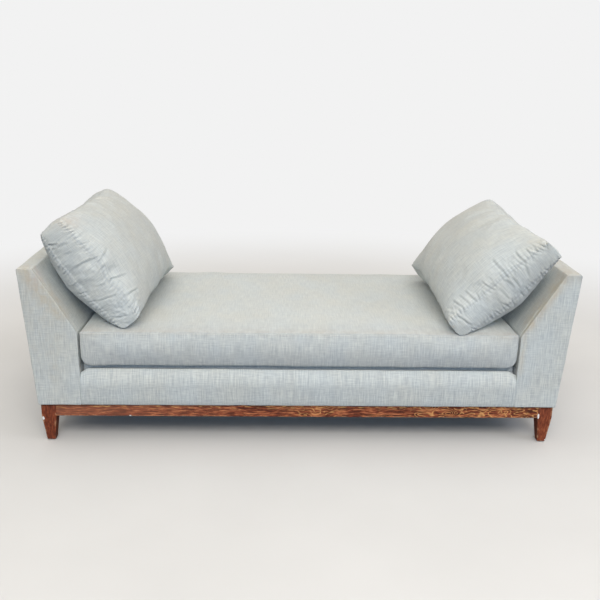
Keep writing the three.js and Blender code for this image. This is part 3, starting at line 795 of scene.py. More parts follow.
# %% Boxing and the whole form
def boxing(size, u, v, t):
    """The strip between the rims of the panels: it bulges by a sine and curls under near its foot."""
    top, low = panel(size, u, v, 1), panel(size, u, v, -1)
    curl = np.where(t < CURL_START, 0, 1 - rise(1 - (t - CURL_START) / (1 - CURL_START)))
    swell = size["bulge"] * np.sin(np.pi * t)
    out = np.stack([swell * np.sign(u) * np.abs(u) ** 8 * (1 - v ** 8),
                    swell * np.sign(v) * np.abs(v) ** 8 * (1 - u ** 8), np.zeros_like(t)], axis=-1)
    share = np.stack([curl, curl, t], axis=-1)
    return top + (low - top) * share + out


def boxed_cushion(size, columns, rows, strips, ribs):
    """Six patches: two panels and four sides of boxing. Ribs "y" run with the depth on the panels and
    "x" across it; on the boxing they run from seam to seam."""
    us, vs, ts = (crowded(count, size["crowding"]) for count in (columns, rows, strips))
    ts = (ts + 1) / 2
    half = np.array([size["long"], size["wide"]]) / 2
    patches = []
    for up in (1, -1):
        u, v = np.meshgrid(us, vs)
        weave = np.stack([u * half[0], v * half[1]] if ribs == "y" else [v * half[1], u * half[0]], axis=-1)
        patches.append((panel(size, u, v, up), weave, np.stack([u, v, np.full_like(u, (1 - up) / 2)], -1)))
    for end in (-1, 1):
        for along, steps in enumerate((us, vs)):
            run, t = np.meshgrid(steps, ts)
            held = np.full_like(run, end)
            u, v = (held, run) if along else (run, held)
            weave = np.stack([run * half[along], t * size["boxing"]], axis=-1)
            patches.append((boxing(size, u, v, t), weave, np.stack([u, v, t], axis=-1)))
    return patches


# %% [markdown]
# A filled cushion is blown up by its filling while the sewn seams hold it, so it is made here the way
# cloth really gets there: with Blender's cloth simulation. Pressure stands for the filling, gravity is
# off, and the seams are told to shrink a little while the panels stretch a little, which gathers the
# cloth beside the seams. The grid itself is simulated, not a remeshed copy, so every point keeps its
# place on the cushion and its cloth coordinates. The result is then split in two by averaging over
# neighbours: the slow swelling, of which only a part is kept so the cushion stays within the room that
# the plain model holds, and the wrinkles, which are kept whole.

# %% Distances and averages on the cloth
def seam_distance(size, form):
    """Distance over the cloth to the nearest seam, from the form's parameters."""
    u, v, t = form.T
    on_panel = (t < 0.001) | (t > 0.999)
    to_rim = np.minimum((1 - np.abs(u)) * size["long"], (1 - np.abs(v)) * size["wide"]) / 2
    return np.where(on_panel, to_rim, np.minimum(t, 1 - t) * size["boxing"])


def averaged(mesh, values, rounds):
    """Each round gives every point half its own value and half the mean of its neighbours' values."""
    ends = read(mesh.edges, "vertices", 2, np.int32).astype(int)
    ends = np.concatenate([ends, ends[:, ::-1]])
    count = np.bincount(ends[:, 0], minlength=len(values))[:, None]
    for _ in range(rounds):
        total = np.stack([np.bincount(ends[:, 0], column[ends[:, 1]], len(values)) for column in values.T],
                         axis=1)
        values = (values + total / count) / 2
    return values


# %% Filling by simulation
SEAM_REACH, SEAM_LEVELS = 9 * MM, 10


def fill(piece, size, pressure, seam_shrink, panel_stretch, cap, wrinkled=1.0, kept=0.10, rounds=80,
         frames=20):
    """Cloth under pressure. The move is `kept` times its slow part plus `wrinkled` times its quick part,
    and its length m is scaled to m * cap / (cap + m), so it nears the cap softly."""
    start = points_of(piece)
    copy = added("filling", piece.data.copy())
    near_seam = bell(seam_distance(size, form_of(piece)) / SEAM_REACH)
    group = copy.vertex_groups.new(name="seam")
    for level in range(SEAM_LEVELS + 1):
        chosen = np.flatnonzero(np.round(near_seam * SEAM_LEVELS) == level).tolist()
        group.add(chosen, level / SEAM_LEVELS, "REPLACE")
    cloth = copy.modifiers.new("cloth", "CLOTH")
    settings = cloth.settings
    settings.quality, settings.mass, settings.air_damping = 6, 0.25, 2.0
    settings.tension_stiffness = settings.compression_stiffness = 22
    settings.shear_stiffness, settings.bending_stiffness = 8, 0.25
    settings.use_pressure, settings.uniform_pressure_force = True, pressure
    settings.vertex_group_shrink = "seam"
    settings.shrink_min, settings.shrink_max = -panel_stretch, seam_shrink
    settings.effector_weights.gravity = 0
    cloth.collision_settings.use_collision = False
    cloth.point_cache.frame_start, cloth.point_cache.frame_end = 1, frames
    scene = bpy.context.scene
    for frame_number in range(1, frames + 1):
        scene.frame_set(frame_number)
    settled = copy.evaluated_get(bpy.context.evaluated_depsgraph_get()).to_mesh()
    move = read(settled.vertices, "co") - start
    scene.frame_set(1)
    bpy.data.objects.remove(copy)
    slow = averaged(piece.data, move, rounds)
    quick = move - slow
    move = kept * slow + wrinkled * quick
    length = np.linalg.norm(move, axis=1, keepdims=True)
    move_points(piece, start + move * cap / (cap + length))
    spread = [np.sqrt((part ** 2).sum(axis=1).mean()) / MM for part in (slow, quick)]
    print(f"{piece.name}: slow part {spread[0]:.1f} mm, quick part {spread[1]:.1f} mm on average")


# %% A finer mesh
def subdivided(piece):
    """One level of subdivision, applied, so that finer folds can be shaped afterwards."""
    modifier = piece.modifiers.new("finer", "SUBSURF")
    modifier.levels = modifier.render_levels = 1
    graph = bpy.context.evaluated_depsgraph_get()
    finer = bpy.data.meshes.new_from_object(piece.evaluated_get(graph), preserve_all_data_layers=True,
                                            depsgraph=graph)
    piece.modifiers.clear()
    piece.data = finer
    finer.name = piece.name


# %% [markdown]
# The seat cushion is one long slab of foam in a wrap of down. It is firm, so it barely crowns, its
# front boxing stays upright, and only its lower edge curls under. A thin groove marks each seam.

# %% Sewn seams
GROOVE_WIDTH, ROLL_AWAY, ROLL_WIDTH = 1.7 * MM, 5 * MM, 3.5 * MM


def sewn_groove(piece, size, depth, roll):
    """A narrow groove on each seam with a soft roll of cloth beside it: minus depth times a bell of the
    distance to the seam, plus roll times a wider bell that peaks five millimetres away."""
    away = seam_distance(size, form_of(piece))
    out = roll * bell((away - ROLL_AWAY) / ROLL_WIDTH) - depth * bell(away / GROOVE_WIDTH)
    move_points(piece, points_of(piece) + normals_of(piece) * out[:, None])


# %% Seat cushion
SEAT_SEAM = 0.4644
SEAT = dict(long=2 * (SEAT_END - 8 * MM), wide=-2 * FRONT, boxing=142 * MM, corner_boxing=142 * MM,
            crown=14 * MM, belly=1.5 * MM, run_short=0.130, run_long=0.130, power=1.8, draw_short=4 * MM,
            draw_long=4 * MM, rounding=((0, 0), (0, 0)), bulge=13 * MM, under=16 * MM, end_lift=30 * MM,
            end_run=36 * MM, crowding=0.55, sag=[], front_lean=0.0)
SEAT_MIDDLE = np.array([0, 0, SEAT_SEAM - SEAT["boxing"] / 2])
SEAT_GAP, DECK_GAP = 4.0 * MM, 0.3 * MM
seat = make_piece("seat_cushion_cover", boxed_cushion(SEAT, columns=112, rows=62, strips=14, ribs="y"),
                  upholstery)
fill(seat, SEAT, pressure=1.2, seam_shrink=0.012, panel_stretch=0.006, cap=3 * MM)
subdivided(seat)
sewn_groove(seat, SEAT, depth=1.3 * MM, roll=0.5 * MM)
move_points(seat, points_of(seat) + SEAT_MIDDLE)
soften(seat, 0.8 * MM, shortest=0.10, longest=0.45, seed=71)
seat_points = points_of(seat)
seat_points[:, 0] = np.clip(seat_points[:, 0], -SEAT_END + SEAT_GAP, SEAT_END - SEAT_GAP)
seat_points[:, 2] = np.maximum(seat_points[:, 2], deck_high[2] + DECK_GAP)
move_points(seat, seat_points)
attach(seat, "seat_cushion")
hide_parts("seat_cushion")

# %% Height of the seat under a point
SEAT_CELL, TABLE_SIZE = 16 * MM, np.array([160, 90])


def seat_heights(points):
    """The highest cushion point in each square cell of the seat."""
    cells = np.round(points[:, :2] / SEAT_CELL).astype(int) + TABLE_SIZE // 2
    table = np.zeros(TABLE_SIZE)
    np.maximum.at(table, tuple(cells.T), points[:, 2])
    return table


seat_table = seat_heights(seat_points)


def seat_top(points):
    """Height of the cushion under each point, blended between the four cells around it."""
    place = points[:, :2] / SEAT_CELL + TABLE_SIZE // 2
    low = np.clip(np.floor(place).astype(int), 0, TABLE_SIZE - 2)
    part = np.clip(place - low, 0, 1)
    total = np.zeros(len(points))
    for i in (0, 1):
        for j in (0, 1):
            share = np.abs(1 - i - part[:, 0]) * np.abs(1 - j - part[:, 1])
            total += share * seat_table[low[:, 0] + i, low[:, 1] + j]
    return total


print("seat top in mm:", round(seat_table.max() / MM, 1))

# %% [markdown]
# The pillows are feather-filled and much softer. They crown high, their corners stay thin and pointed,
# and the cloth puckers along the gathered seams. The simulation gives the settled form. The puckers are
# then shaped by formula on the finer mesh: each is a narrow bell across the seam that fades with the
# distance from it. Long creases are straight lines on the cloth as it would lie flat beside the front
# seam, with a ridge on the line and a hollow next to it. Where the corner is sewn shut the cloth is
# crumpled all over.

# %% Puckers
ELSEWHERE, FOLDS_END = 9.0, 0.32


def seam_place(size, form, axis, end, face):
    """How far along one seam a point lies and how far from it: positive on the panel, negative on the
    boxing. Axis "v" is a seam that runs along u at v = end."""
    u, v, t = form.T
    across, along = (v * end, u) if axis == "v" else (u * end, v)
    half_to, half_along = size["wide"] / 2, size["long"] / 2
    if axis == "u":
        half_to, half_along = half_along, half_to
    on_panel = t < 0.001 if face == 0 else t > 0.999
    on_strip = (across > 0.9999) & (t >= 0.001) & (t <= 0.999)
    height = (t if face == 0 else 1 - t) * size["boxing"]
    away = np.where(on_panel, (1 - across) * half_to, np.where(on_strip, -height, ELSEWHERE))
    return along * half_along, away


def pucker_height(along, away, folds):
    """Sum of folds. Each is (place along the seam, lean, width, height, reach on the panel, reach on the
    boxing): height * exp(-((along - place - lean * away) / width)^2) * exp(-|away| / reach)."""
    total = np.zeros(len(along))
    near = np.flatnonzero(np.abs(away) < FOLDS_END)
    along, away = along[near], away[near]
    for place, lean, width, height, reach_panel, reach_strip in folds:
        reach = np.where(away > 0, reach_panel, reach_strip)
        total[near] += height * np.exp(-((along - place - lean * away) / width) ** 2 - np.abs(away) / reach)
    return total


def random_folds(length, pitch, seed, height, reaches, uneven=0.35, raised=0.28):
    """Puckers at a pitch that is uneven by a share of itself, each with its own width, height, lean and
    reach; a share of them is raised and the others are hollow. The reaches are the shortest and longest
    on the panel and the same on the boxing."""
    chance = np.random.default_rng(seed)
    count = int(length / pitch)
    places = (np.arange(count) + 0.5) * pitch - length / 2 + chance.uniform(-uneven, uneven, count) * pitch
    heights = height * chance.uniform(0.5, 1.25, count) * np.where(chance.random(count) < raised, 0.8, -1)
    leans, widths = chance.uniform(-0.45, 0.45, count), chance.uniform(0.20, 0.30, count) * pitch
    on_panel, on_boxing = (chance.uniform(*pair, count) * MM for pair in (reaches[:2], reaches[2:]))
    return np.stack([places, leans, widths, heights, on_panel, on_boxing], axis=1)


# %% Creases and crumples
HOLLOW_SHARE, HOLLOW_PLACE, RIDGE_TOP = 0.65, 1.9, 0.6


def crease_height(points, along, away, creases):
    """Each crease is (along, away, along, away, width, height), from one end to the other. With s the
    share of its length and d the distance across it in widths, wavering a little: height * sqrt(sin(pi s))
    * (exp(-d^2) - 0.65 exp(-(d - 1.9)^2))."""
    total = np.zeros(len(along))
    waver = 1.0 * MM * soft_field(points, 0.03, 0.09, 5)
    flat = np.stack([along, away], axis=1)
    for a0, w0, a1, w1, width, height in creases:
        line = np.array([a1 - a0, w1 - w0])
        length = np.linalg.norm(line)
        share = (flat - (a0, w0)) @ line / length ** 2
        across = ((flat - (a0, w0)) @ np.array([-line[1], line[0]]) / length + waver) / width
        fade = np.sqrt(np.sin(np.pi * np.clip(share, 0, 1)))
        total += height * fade * (bell(across) - HOLLOW_SHARE * bell(across - HOLLOW_PLACE))
    return total


def crumple_height(points, along, away, patches):
    """Each patch is (along, away, reach, reach, height): a bell over a ridged field, 0.6 - |field|."""
    ridges = RIDGE_TOP - np.abs(soft_field(points, 0.016, 0.040, 9))
    return sum(height * ridges * bell((along - a) / reach_a) * bell((away - w) / reach_w)
               for a, w, reach_a, reach_w, height in patches)


# %% Where the pillows press
def pressed(points, side, gap):
    """Pushes points off the arm and up off the seat. The distance to a convex outline is the largest of
    the distances to its edges' lines, and the way out is that edge's normal."""
    flat = np.stack([side * points[:, 0], points[:, 2]], axis=1)
    outward = edge_normals(ARM_EDGES)
    distance = ((flat[:, None] - ARM_EDGES) * outward).sum(axis=-1)
    nearest = distance.argmax(axis=1)
    lack = np.maximum(0, gap - distance.max(axis=1))
    flat += outward[nearest] * lack[:, None]
    result = np.stack([side * flat[:, 0], points[:, 1], flat[:, 1]], axis=1)
    over_seat = np.abs(result[:, 0]) < SEAT_END
    result[over_seat, 2] = np.maximum(result[over_seat, 2], (seat_top(result) + gap)[over_seat])
    return result


# %% Measures of the pillows
PILLOW = dict(long=0.500, wide=0.762, boxing=127 * MM, corner_boxing=90 * MM, crown=92 * MM, belly=110 * MM,
              run_short=0.250, run_long=0.381, power=1.12, draw_short=27 * MM, draw_long=22 * MM,
              bulge=7 * MM, under=0.0, end_lift=0.0, end_run=1.0, crowding=0.30)
# How far each corner is blunted: at low u for low and high v, then at high u
BLUNTING = {"left": ((20 * MM, 30 * MM), (4 * MM, -2 * MM)), "right": ((6 * MM, 4 * MM), (3 * MM, 22 * MM))}
# Where each front seam hangs: place along it, width, depth
SAGS = {"left": [(0.24, 0.20, 22 * MM), (-0.50, 0.16, 9 * MM), (0.10, 0.70, 5 * MM)],
        "right": [(0.25, 0.75, 30 * MM), (-0.42, 0.34, 12 * MM)]}
# How far the lower front seam stands out in its middle
LEANS = {"left": 6 * MM, "right": 0.0}
# Middle, lean on the arm, turn about the upright, roll in its own plane (degrees)
PILLOW_PLACES = {"left": ((-0.784, -0.066, 0.6884), 52, -3.7, 1.3),
                 "right": ((0.755, -0.095, 0.6704), 44, 5.2, -4.9)}
# Creases beside the front seam of the face, in millimetres: along and away at both ends, width, height
CREASES = {
    "left": [(-146, -88, -143, -39, 5, -2.8), (-50, -93, -35, 11, 5, -3.6), (-15, -69, -27, -15, 5, 2.4),
             (-12, 3, -31, 58, 5, -3.4), (61, -6, 90, 64, 5, -3.2), (101, -112, 124, -12, 5, -3.6),
             (152, -6, 166, 73, 5, -3.8), (187, -112, 220, -34, 5, -3.6), (166, -74, 185, -30, 5, 2.6),
             (-111, -79, -107, -48, 4, -2.0), (50, -74, 65, -18, 5, -2.2), (-185, -124, -155, -74, 5, -3.4),
             (90, -30, 101, 13, 4, 2.2)],
    "right": [(42, 67, 42, -15, 5, -4.0), (130, 46, 127, 8, 5, -3.0), (127, 8, 104, -79, 5, -3.0),
              (-12, -22, -8, -115, 5, -3.0), (-8, 24, -15, -6, 4, -2.4), (-180, 61, -163, -3, 5, -3.4),
              (-146, 52, -137, 3, 5, -3.0), (-114, 49, -114, 5, 4, -2.6), (-202, 3, -182, -93, 5, -3.2),
              (-38, 38, -38, 5, 4, -2.4), (172, 35, 166, 8, 4, -2.6), (200, 32, 190, -3, 4, -2.4),
              (27, -6, 38, -79, 5, -2.8), (54, -18, 54, -97, 4, -2.4), (-235, 70, -185, -9, 5, 2.4)],
}
# Crumpled patches there, in millimetres: along, away, the two reaches, height
CRUMPLES = {"left": [(196, -40, 62, 62, 2.4), (206, 30, 40, 34, 1.8), (60, -60, 190, 50, 0.9)],
            "right": [(-214, 0, 34, 46, 2.4), (0, 14, 230, 34, 0.9)]}
# Pitch of the long and short folds, their heights, and how near a seam all of them fade out
FOLD_PITCH, GATHER_PITCH = 24 * MM, 15 * MM
LONG_FOLDS, GATHERS, FRONT_GATHERS, CALM_WIDTH = 1.9 * MM, 3.6 * MM, 6.6 * MM, 1.2 * MM
# How far the pillows stay off the arm and the seat, before filling and in the end
LOOSE_GAP, PRESSED_GAP = 6 * MM, 1.2 * MM


# %% Pose and puckers of a pillow
def pillow_pose(side, middle, lean, turn, roll):
    """Rolled in its own plane, leaned over onto its arm, turned about the upright, then put in place."""
    turn_z = Matrix.Rotation(math.radians(turn), 4, "Z")
    lean_y = Matrix.Rotation(-side * math.radians(lean), 4, "Y")
    roll_z = Matrix.Rotation(math.radians(roll), 4, "Z")
    return np.array(Matrix.Translation(middle) @ turn_z @ lean_y @ roll_z)


def posed(pose, points):
    """Turns and moves points: the turn times each point, plus the place."""
    return points @ pose[:3, :3].T + pose[:3, 3]


def all_puckers(form, seed):
    """Height of the puckers of all eight seams. Each seam has two rows: uneven long puckers, and short
    even gathers, which stand out most along the two seams of the front side."""
    height = np.zeros(len(form))
    for axis, length in (("v", PILLOW["long"]), ("u", PILLOW["wide"])):
        for end in (-1, 1):
            for face in (0, 1):
                seam_seed = seed + 4 * (axis == "u") + 2 * (end + 1) + face
                gathers = FRONT_GATHERS if axis == "v" and end < 0 else GATHERS
                folds = np.concatenate([
                    random_folds(length, FOLD_PITCH, seam_seed, LONG_FOLDS, reaches=(12, 36, 10, 26)),
                    random_folds(length, GATHER_PITCH, seam_seed + 50, gathers, reaches=(8, 15, 7, 12),
                                 uneven=0.15, raised=0.0)])
                height += pucker_height(*seam_place(PILLOW, form, axis, end, face), folds)
    return height


# %% Pillows
pillows = {}
for hand, side in SIDES.items():
    size = dict(PILLOW, sag=SAGS[hand], rounding=BLUNTING[hand], front_lean=LEANS[hand])
    piece = make_piece(f"pillow_{hand}_cover",
                       boxed_cushion(size, columns=84, rows=100, strips=16, ribs="x"), upholstery)
    pose = pillow_pose(side, *PILLOW_PLACES[hand])
    move_points(piece, pressed(posed(pose, points_of(piece)), side, LOOSE_GAP))
    fill(piece, PILLOW, pressure=1.6, seam_shrink=0.08, panel_stretch=0.04, cap=14 * MM, wrinkled=0.45)
    subdivided(piece)
    form, points = form_of(piece), points_of(piece)
    height = all_puckers(form, 200 + 10 * (side + 1))
    along, away = seam_place(PILLOW, form, "v", -1, 0)
    height += crease_height(points, along, away, np.array(CREASES[hand]) * MM)
    height += crumple_height(points, along, away, np.array(CRUMPLES[hand]) * MM)
    calm = 1 - bell(seam_distance(PILLOW, form) / CALM_WIDTH)
    move_points(piece, points + normals_of(piece) * (height * calm)[:, None])
    sewn_groove(piece, PILLOW, depth=1.5 * MM, roll=0.6 * MM)
    soften(piece, 1.2 * MM, shortest=0.06, longest=0.24, seed=91 + side)
    move_points(piece, pressed(points_of(piece), side, PRESSED_GAP))
    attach(piece, f"pillow_{hand}")
    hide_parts(f"pillow_{hand}")
    pillows[hand] = piece

# %% [markdown]
# The plinth is stained reddish brown, with an orange figure in the grain that swirls on the right half
# of the front rail. Grain is noise stretched along the length of the wood. The swirl is made the way
# contour lines are: a smooth noise is cut into many levels, and a thin light line is drawn at each.
# Worn edges show paler wood, and a few chips go through to white filler.

# %% Tones of the stain and places of the chips
def spot(tree, place, centre, reach):
    """Distance from a place, counted in reaches along each axis."""
    away = node(tree, "ShaderNodeVectorMath", {"operation": "SUBTRACT"}, _0=place, _1=centre).outputs[0]
    scaled = node(tree, "ShaderNodeVectorMath", {"operation": "DIVIDE"}, _0=away, _1=reach).outputs[0]
    return node(tree, "ShaderNodeVectorMath", {"operation": "LENGTH"}, _0=scaled).outputs["Value"]


STAIN = [(0.36, (0.080, 0.020, 0.011, 1)), (0.47, (0.215, 0.051, 0.023, 1)),
         (0.56, (0.320, 0.085, 0.037, 1)), (0.69, (0.580, 0.210, 0.088, 1))]
PORE, FADED, FIGURE = (0.070, 0.022, 0.014, 1), (0.46, 0.185, 0.105, 1), (0.66, 0.33, 0.12, 1)
FLECK, RUBBED, FILLER = (0.62, 0.32, 0.12, 1), (0.62, 0.36, 0.20, 1), (0.90, 0.88, 0.85, 1)
WANDER, CONTOURS = (0.016, 0.016, 0.016), 30.0
# Middle and half sizes of each chip
CHIPS = [((-1.0105, -0.447, 0.101), (0.0045, 0.02, 0.009)), ((0.961, -0.447, 0.119), (0.004, 0.02, 0.010)),
         ((-0.669, -0.447, 0.1125), (0.0045, 0.02, 0.0035)), ((1.004, -0.440, 0.010), (0.004, 0.02, 0.004))]


# %% Stained wood
def stained_wood(name, grain_scale, contrast, swirl=False):
    """Dark stain over stretched grain, fine pores, a swirl of contour lines, worn edges and chips."""
    made, tree = new_material(name)
    place = object_place(tree)
    wander = node(tree, "ShaderNodeTexNoise", Vector=place, Scale=11.0, Detail=2.0).outputs["Color"]
    waved = node(tree, "ShaderNodeVectorMath", {"operation": "MULTIPLY_ADD"}, _0=wander, _1=WANDER,
                 _2=place).outputs[0]
    grain = solid_noise(tree, waved, grain_scale, 5.0, 0.62)
    pores = solid_noise(tree, waved, tuple(2.2 * s for s in grain_scale))
    clouds = solid_noise(tree, place, (5.0, 5.0, 9.0))
    mixed = plus(tree, times(tree, grain, contrast), times(tree, clouds, 0.3))
    mixed = math_node(tree, "SUBTRACT", mixed, (contrast + 0.3 - 0.98) / 2)
    colour = colour_ramp(tree, mixed, STAIN)
    colour = blend_colours(tree, remap(tree, pores, 0.36, 0.50, 0.4 * contrast, 0.0), colour, PORE)
    if swirl:
        levels = solid_noise(tree, waved, (10.0, 10.0, 21.0), 2.0, 0.4)
        ridge = math_node(tree, "PINGPONG", times(tree, levels, CONTOURS), 1.0)
        line = remap(tree, ridge, 0.58, 0.95, smooth=True)
        broken = solid_noise(tree, place, (70.0, 70.0, 110.0))
        kept = remap(tree, broken, 0.36, 0.54, 0.25)
        parts = node(tree, "ShaderNodeSeparateXYZ", Vector=place)
        pale_end = remap(tree, parts.outputs["X"], -0.2, -0.9, 0.0, 0.34)
        colour = blend_colours(tree, pale_end, colour, FADED)
        patchy = solid_noise(tree, place, (3.2, 3.2, 12.0))
        reach = plus(tree, times(tree, parts.outputs["X"], 0.34), patchy)
        shown = remap(tree, reach, 0.47, 0.66, smooth=True)
        share = times(tree, times(tree, line, kept), shown)
        colour = blend_colours(tree, share, colour, FIGURE)
        flecks = solid_noise(tree, waved, (30.0, 30.0, 170.0), 1.0)
        fleck = remap(tree, flecks, 0.58, 0.66)
        near_top = remap(tree, parts.outputs["Z"], 0.138, 0.152)
        colour = blend_colours(tree, times(tree, fleck, near_top), colour, FLECK)
    worn = node(tree, "ShaderNodeAttribute", {"attribute_name": "edge"}).outputs["Fac"]
    rubbed = solid_noise(tree, place, (60.0, 60.0, 60.0), 3.0, 0.6)
    colour = blend_colours(tree, times(tree, worn, remap(tree, rubbed, 0.50, 0.62)), colour, RUBBED)
    for centre, size in CHIPS:
        ragged = plus(tree, spot(tree, place, centre, size), times(tree, rubbed, 0.9))
        colour = blend_colours(tree, remap(tree, ragged, 1.50, 1.36), colour, FILLER)
    relief = bump(tree, plus(tree, grain, times(tree, pores, 0.6)), 0.35, 0.5 * MM)
    finish_material(tree, Base_Color=colour, Roughness=remap(tree, grain, 0.3, 0.7, 0.36, 0.50),
                    Specular_IOR_Level=0.3, Coat_Weight=0.06, Coat_Roughness=0.3, Normal=relief)
    return made


wood_along_x = stained_wood("stained_wood_swirled", (20.0, 170.0, 170.0), 1.6, swirl=True)
wood_along_y = stained_wood("stained_wood_side", (170.0, 20.0, 170.0), 1.3)
wood_along_z = stained_wood("stained_wood_upright", (210.0, 210.0, 40.0), 0.58)
print("nodes of the swirled wood:", len(wood_along_x.node_tree.nodes))

# %% Plinth rails
def edge_wear(piece, to_edge, reach):
    """Writes how near each point is to a worn edge: 1 on the edge and 0 beyond the reach."""
    layer = piece.data.attributes.new("edge", "FLOAT", "POINT")
    layer.data.foreach_set("value", np.clip(1 - to_edge / reach, 0, 1).astype(np.float32))


RAIL_WEAR = 4 * MM
for rail_name in ("front", "back", "left", "right"):
    low, high = (np.array(corner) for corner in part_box(f"plinth_rail_{rail_name}"))
    runs_x = rail_name in ENDS
    across = 1 if runs_x else 0
    outline = rounded_outline([(low[across], low[2], 1.6 * MM), (high[across], low[2], 1.6 * MM),
                               (high[across], high[2], 1.2 * MM), (low[across], high[2], 1.2 * MM)], 4 * MM)
    along = 1 - across
    space = lying if runs_x else standing(1)
    piece = make_piece(f"plinth_{rail_name}_rail",
                       slab(outline, low[along], high[along], (1 * MM, 1 * MM), (0, 0), space, step=8 * MM,
                            cap_rings=5), wood_along_x if runs_x else wood_along_y)
    soften(piece, 0.15 * MM, shortest=0.08, longest=0.40, seed=120)
    lower_edges = np.array([(low[across], low[2]), (high[across], low[2])])
    away = np.linalg.norm(points_of(piece)[:, None, [across, 2]] - lower_edges, axis=-1)
    edge_wear(piece, away.min(axis=1), RAIL_WEAR)
    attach(piece, "frame")
    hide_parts(f"plinth_rail_{rail_name}")

# %% [markdown]
# The legs stand square behind the rails and taper below them on all four sides. A leg is a rounded
# square carried up a path: at each height the square has its own width, and its corners keep their
# radius, so the taper stays crisp.

# %% Legs
def tapered_leg(middle, stations, radius):
    """Rings of a rounded square: corner middles at half the width less the radius, plus the radius times
    the corner's normal. Stations are (height, half width); the ends are closed by rings drawn inward."""
    outline, normals, _ = rounded_outline([(*corner, 0.2) for corner in SQUARE], 0.25, 6)
    square = (outline - normals * 0.2) / 0.8
    heights, halves = np.array(stations).T
    low_z, low_drawn = rim_rings(heights[0], 1, 1.2 * MM, 4)
    high_z, high_drawn = rim_rings(heights[-1], -1, 0.8 * MM, 4)
    z = np.concatenate([np.full(6, low_z[0]), low_z[1:], heights[1:-1], high_z[::-1],
                        np.full(5, high_z[0])])
    half = np.concatenate([np.full(9, halves[0]), halves[1:-1], np.full(9, halves[-1])])
    drawn = np.concatenate([np.full(6, low_drawn[0]), low_drawn[1:], np.zeros(len(heights) - 2),
                            high_drawn[::-1], np.full(5, high_drawn[0])])
    share = np.concatenate([np.linspace(0, 1, 6), np.ones(len(heights) + 5), np.linspace(1, 0, 6)[1:]])
    ring = square[None] * (half - radius)[:, None, None] + normals[None] * (radius - drawn)[:, None, None]
    flat = ring * share[:, None, None]
    up = np.broadcast_to(z[:, None], flat.shape[:2])
    points = np.stack([middle[0] + flat[..., 0], middle[1] + flat[..., 1], up], axis=-1)
    return [(points, flat.copy(), np.zeros_like(points))]


FOOT_HALF, LEG_CORNER, LEG_WEAR, FOOT_WEAR = 16.5 * MM, 2.2 * MM, 5 * MM, 1.2
rail_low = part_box("plinth_rail_front")[0][2]
for end_name in ENDS:
    for hand in SIDES:
        leg_node = f"leg_{end_name}_{hand}"
        low, high = (np.array(corner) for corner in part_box(leg_node))
        top_half = (high[0] - low[0]) / 2
        straight = [(rail_low + k, top_half) for k in np.linspace(0, high[2] - rail_low, 9)[1:-1]]
        taper = [(low[2] + k * (rail_low - low[2]), FOOT_HALF + k * (top_half - FOOT_HALF))
                 for k in np.linspace(0, 1, 20)[1:]]
        stations = [(low[2], FOOT_HALF), *taper, *straight, (high[2], top_half)]
        middle = (low + high) / 2
        piece = make_piece(f"{leg_node}_tapered", tapered_leg(middle, stations, LEG_CORNER), wood_along_z)
        points = points_of(piece)
        half_here = np.interp(points[:, 2], [low[2], rail_low, high[2]], [FOOT_HALF, top_half, top_half])
        to_corner = np.abs(np.abs(points[:, :2] - middle[:2]) - half_here[:, None]).max(axis=1)
        edge_wear(piece, np.minimum(to_corner, (points[:, 2] - low[2]) * FOOT_WEAR), LEG_WEAR)
        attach(piece, "frame")
        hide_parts(leg_node)

# %% [markdown]
# The rest is hidden in use: raw softwood rails and plywood arm boards, black woven straps, a black dust
# cloth under the frame, and felt glides. Their plain shapes are right, so the model's own pieces stay
# and only get a finish each.

# %% Hidden timber
def raw_timber(name, grain_scale, pale, deep):
    """Pale bands of growth rings and fine fibres, dry and matt."""
    made, tree = new_material(name)
    place = object_place(tree)
    rings = solid_noise(tree, place, grain_scale, 3.0)
    bands = math_node(tree, "PINGPONG", times(tree, rings, 7.0), 1.0)
    fibres = solid_noise(tree, place, tuple(9 * s for s in grain_scale), 2.0, 0.6)
    tone = plus(tree, times(tree, bands, 0.7), times(tree, fibres, 0.3))
    colour = colour_ramp(tree, tone, [(0.15, deep), (0.85, pale)])
    finish_material(tree, Base_Color=colour, Roughness=0.85, Normal=bump(tree, fibres, 0.4, 0.5 * MM))
    return made


PINE_PALE, PINE_DEEP = (0.62, 0.44, 0.25, 1), (0.42, 0.26, 0.13, 1)
pine_along_x = raw_timber("pine_long", (1.5, 30.0, 30.0), PINE_PALE, PINE_DEEP)
pine_along_y = raw_timber("pine_cross", (30.0, 1.5, 30.0), PINE_PALE, PINE_DEEP)
arm_plywood = raw_timber("plywood", (9.0, 60.0, 2.5), (0.58, 0.45, 0.30, 1), (0.46, 0.33, 0.20, 1))

# %% Black cloths and felt
def black_weave(name, tape, ground, thread):
    """Flat tapes over and under each other: two waves of the place on the cloth, multiplied."""
    made, tree = new_material(name)
    parts = node(tree, "ShaderNodeSeparateXYZ", Vector=object_place(tree))
    tone = plus(tree, times(tree, times(tree, *crossed_sines(tree, parts, tape)), 0.5), 0.5)
    colour = colour_ramp(tree, tone, [(0.2, ground), (0.8, thread)])
    finish_material(tree, Base_Color=colour, Roughness=0.9, Sheen_Weight=0.1,
                    Normal=bump(tree, tone, 0.5, 0.4 * MM))
    return made


strap_weave = black_weave("strap_weave", 5 * MM, (0.020, 0.020, 0.022, 1), (0.060, 0.060, 0.064, 1))
dust_cloth = black_weave("dust_cloth", 1.6 * MM, (0.016, 0.016, 0.017, 1), (0.032, 0.032, 0.034, 1))

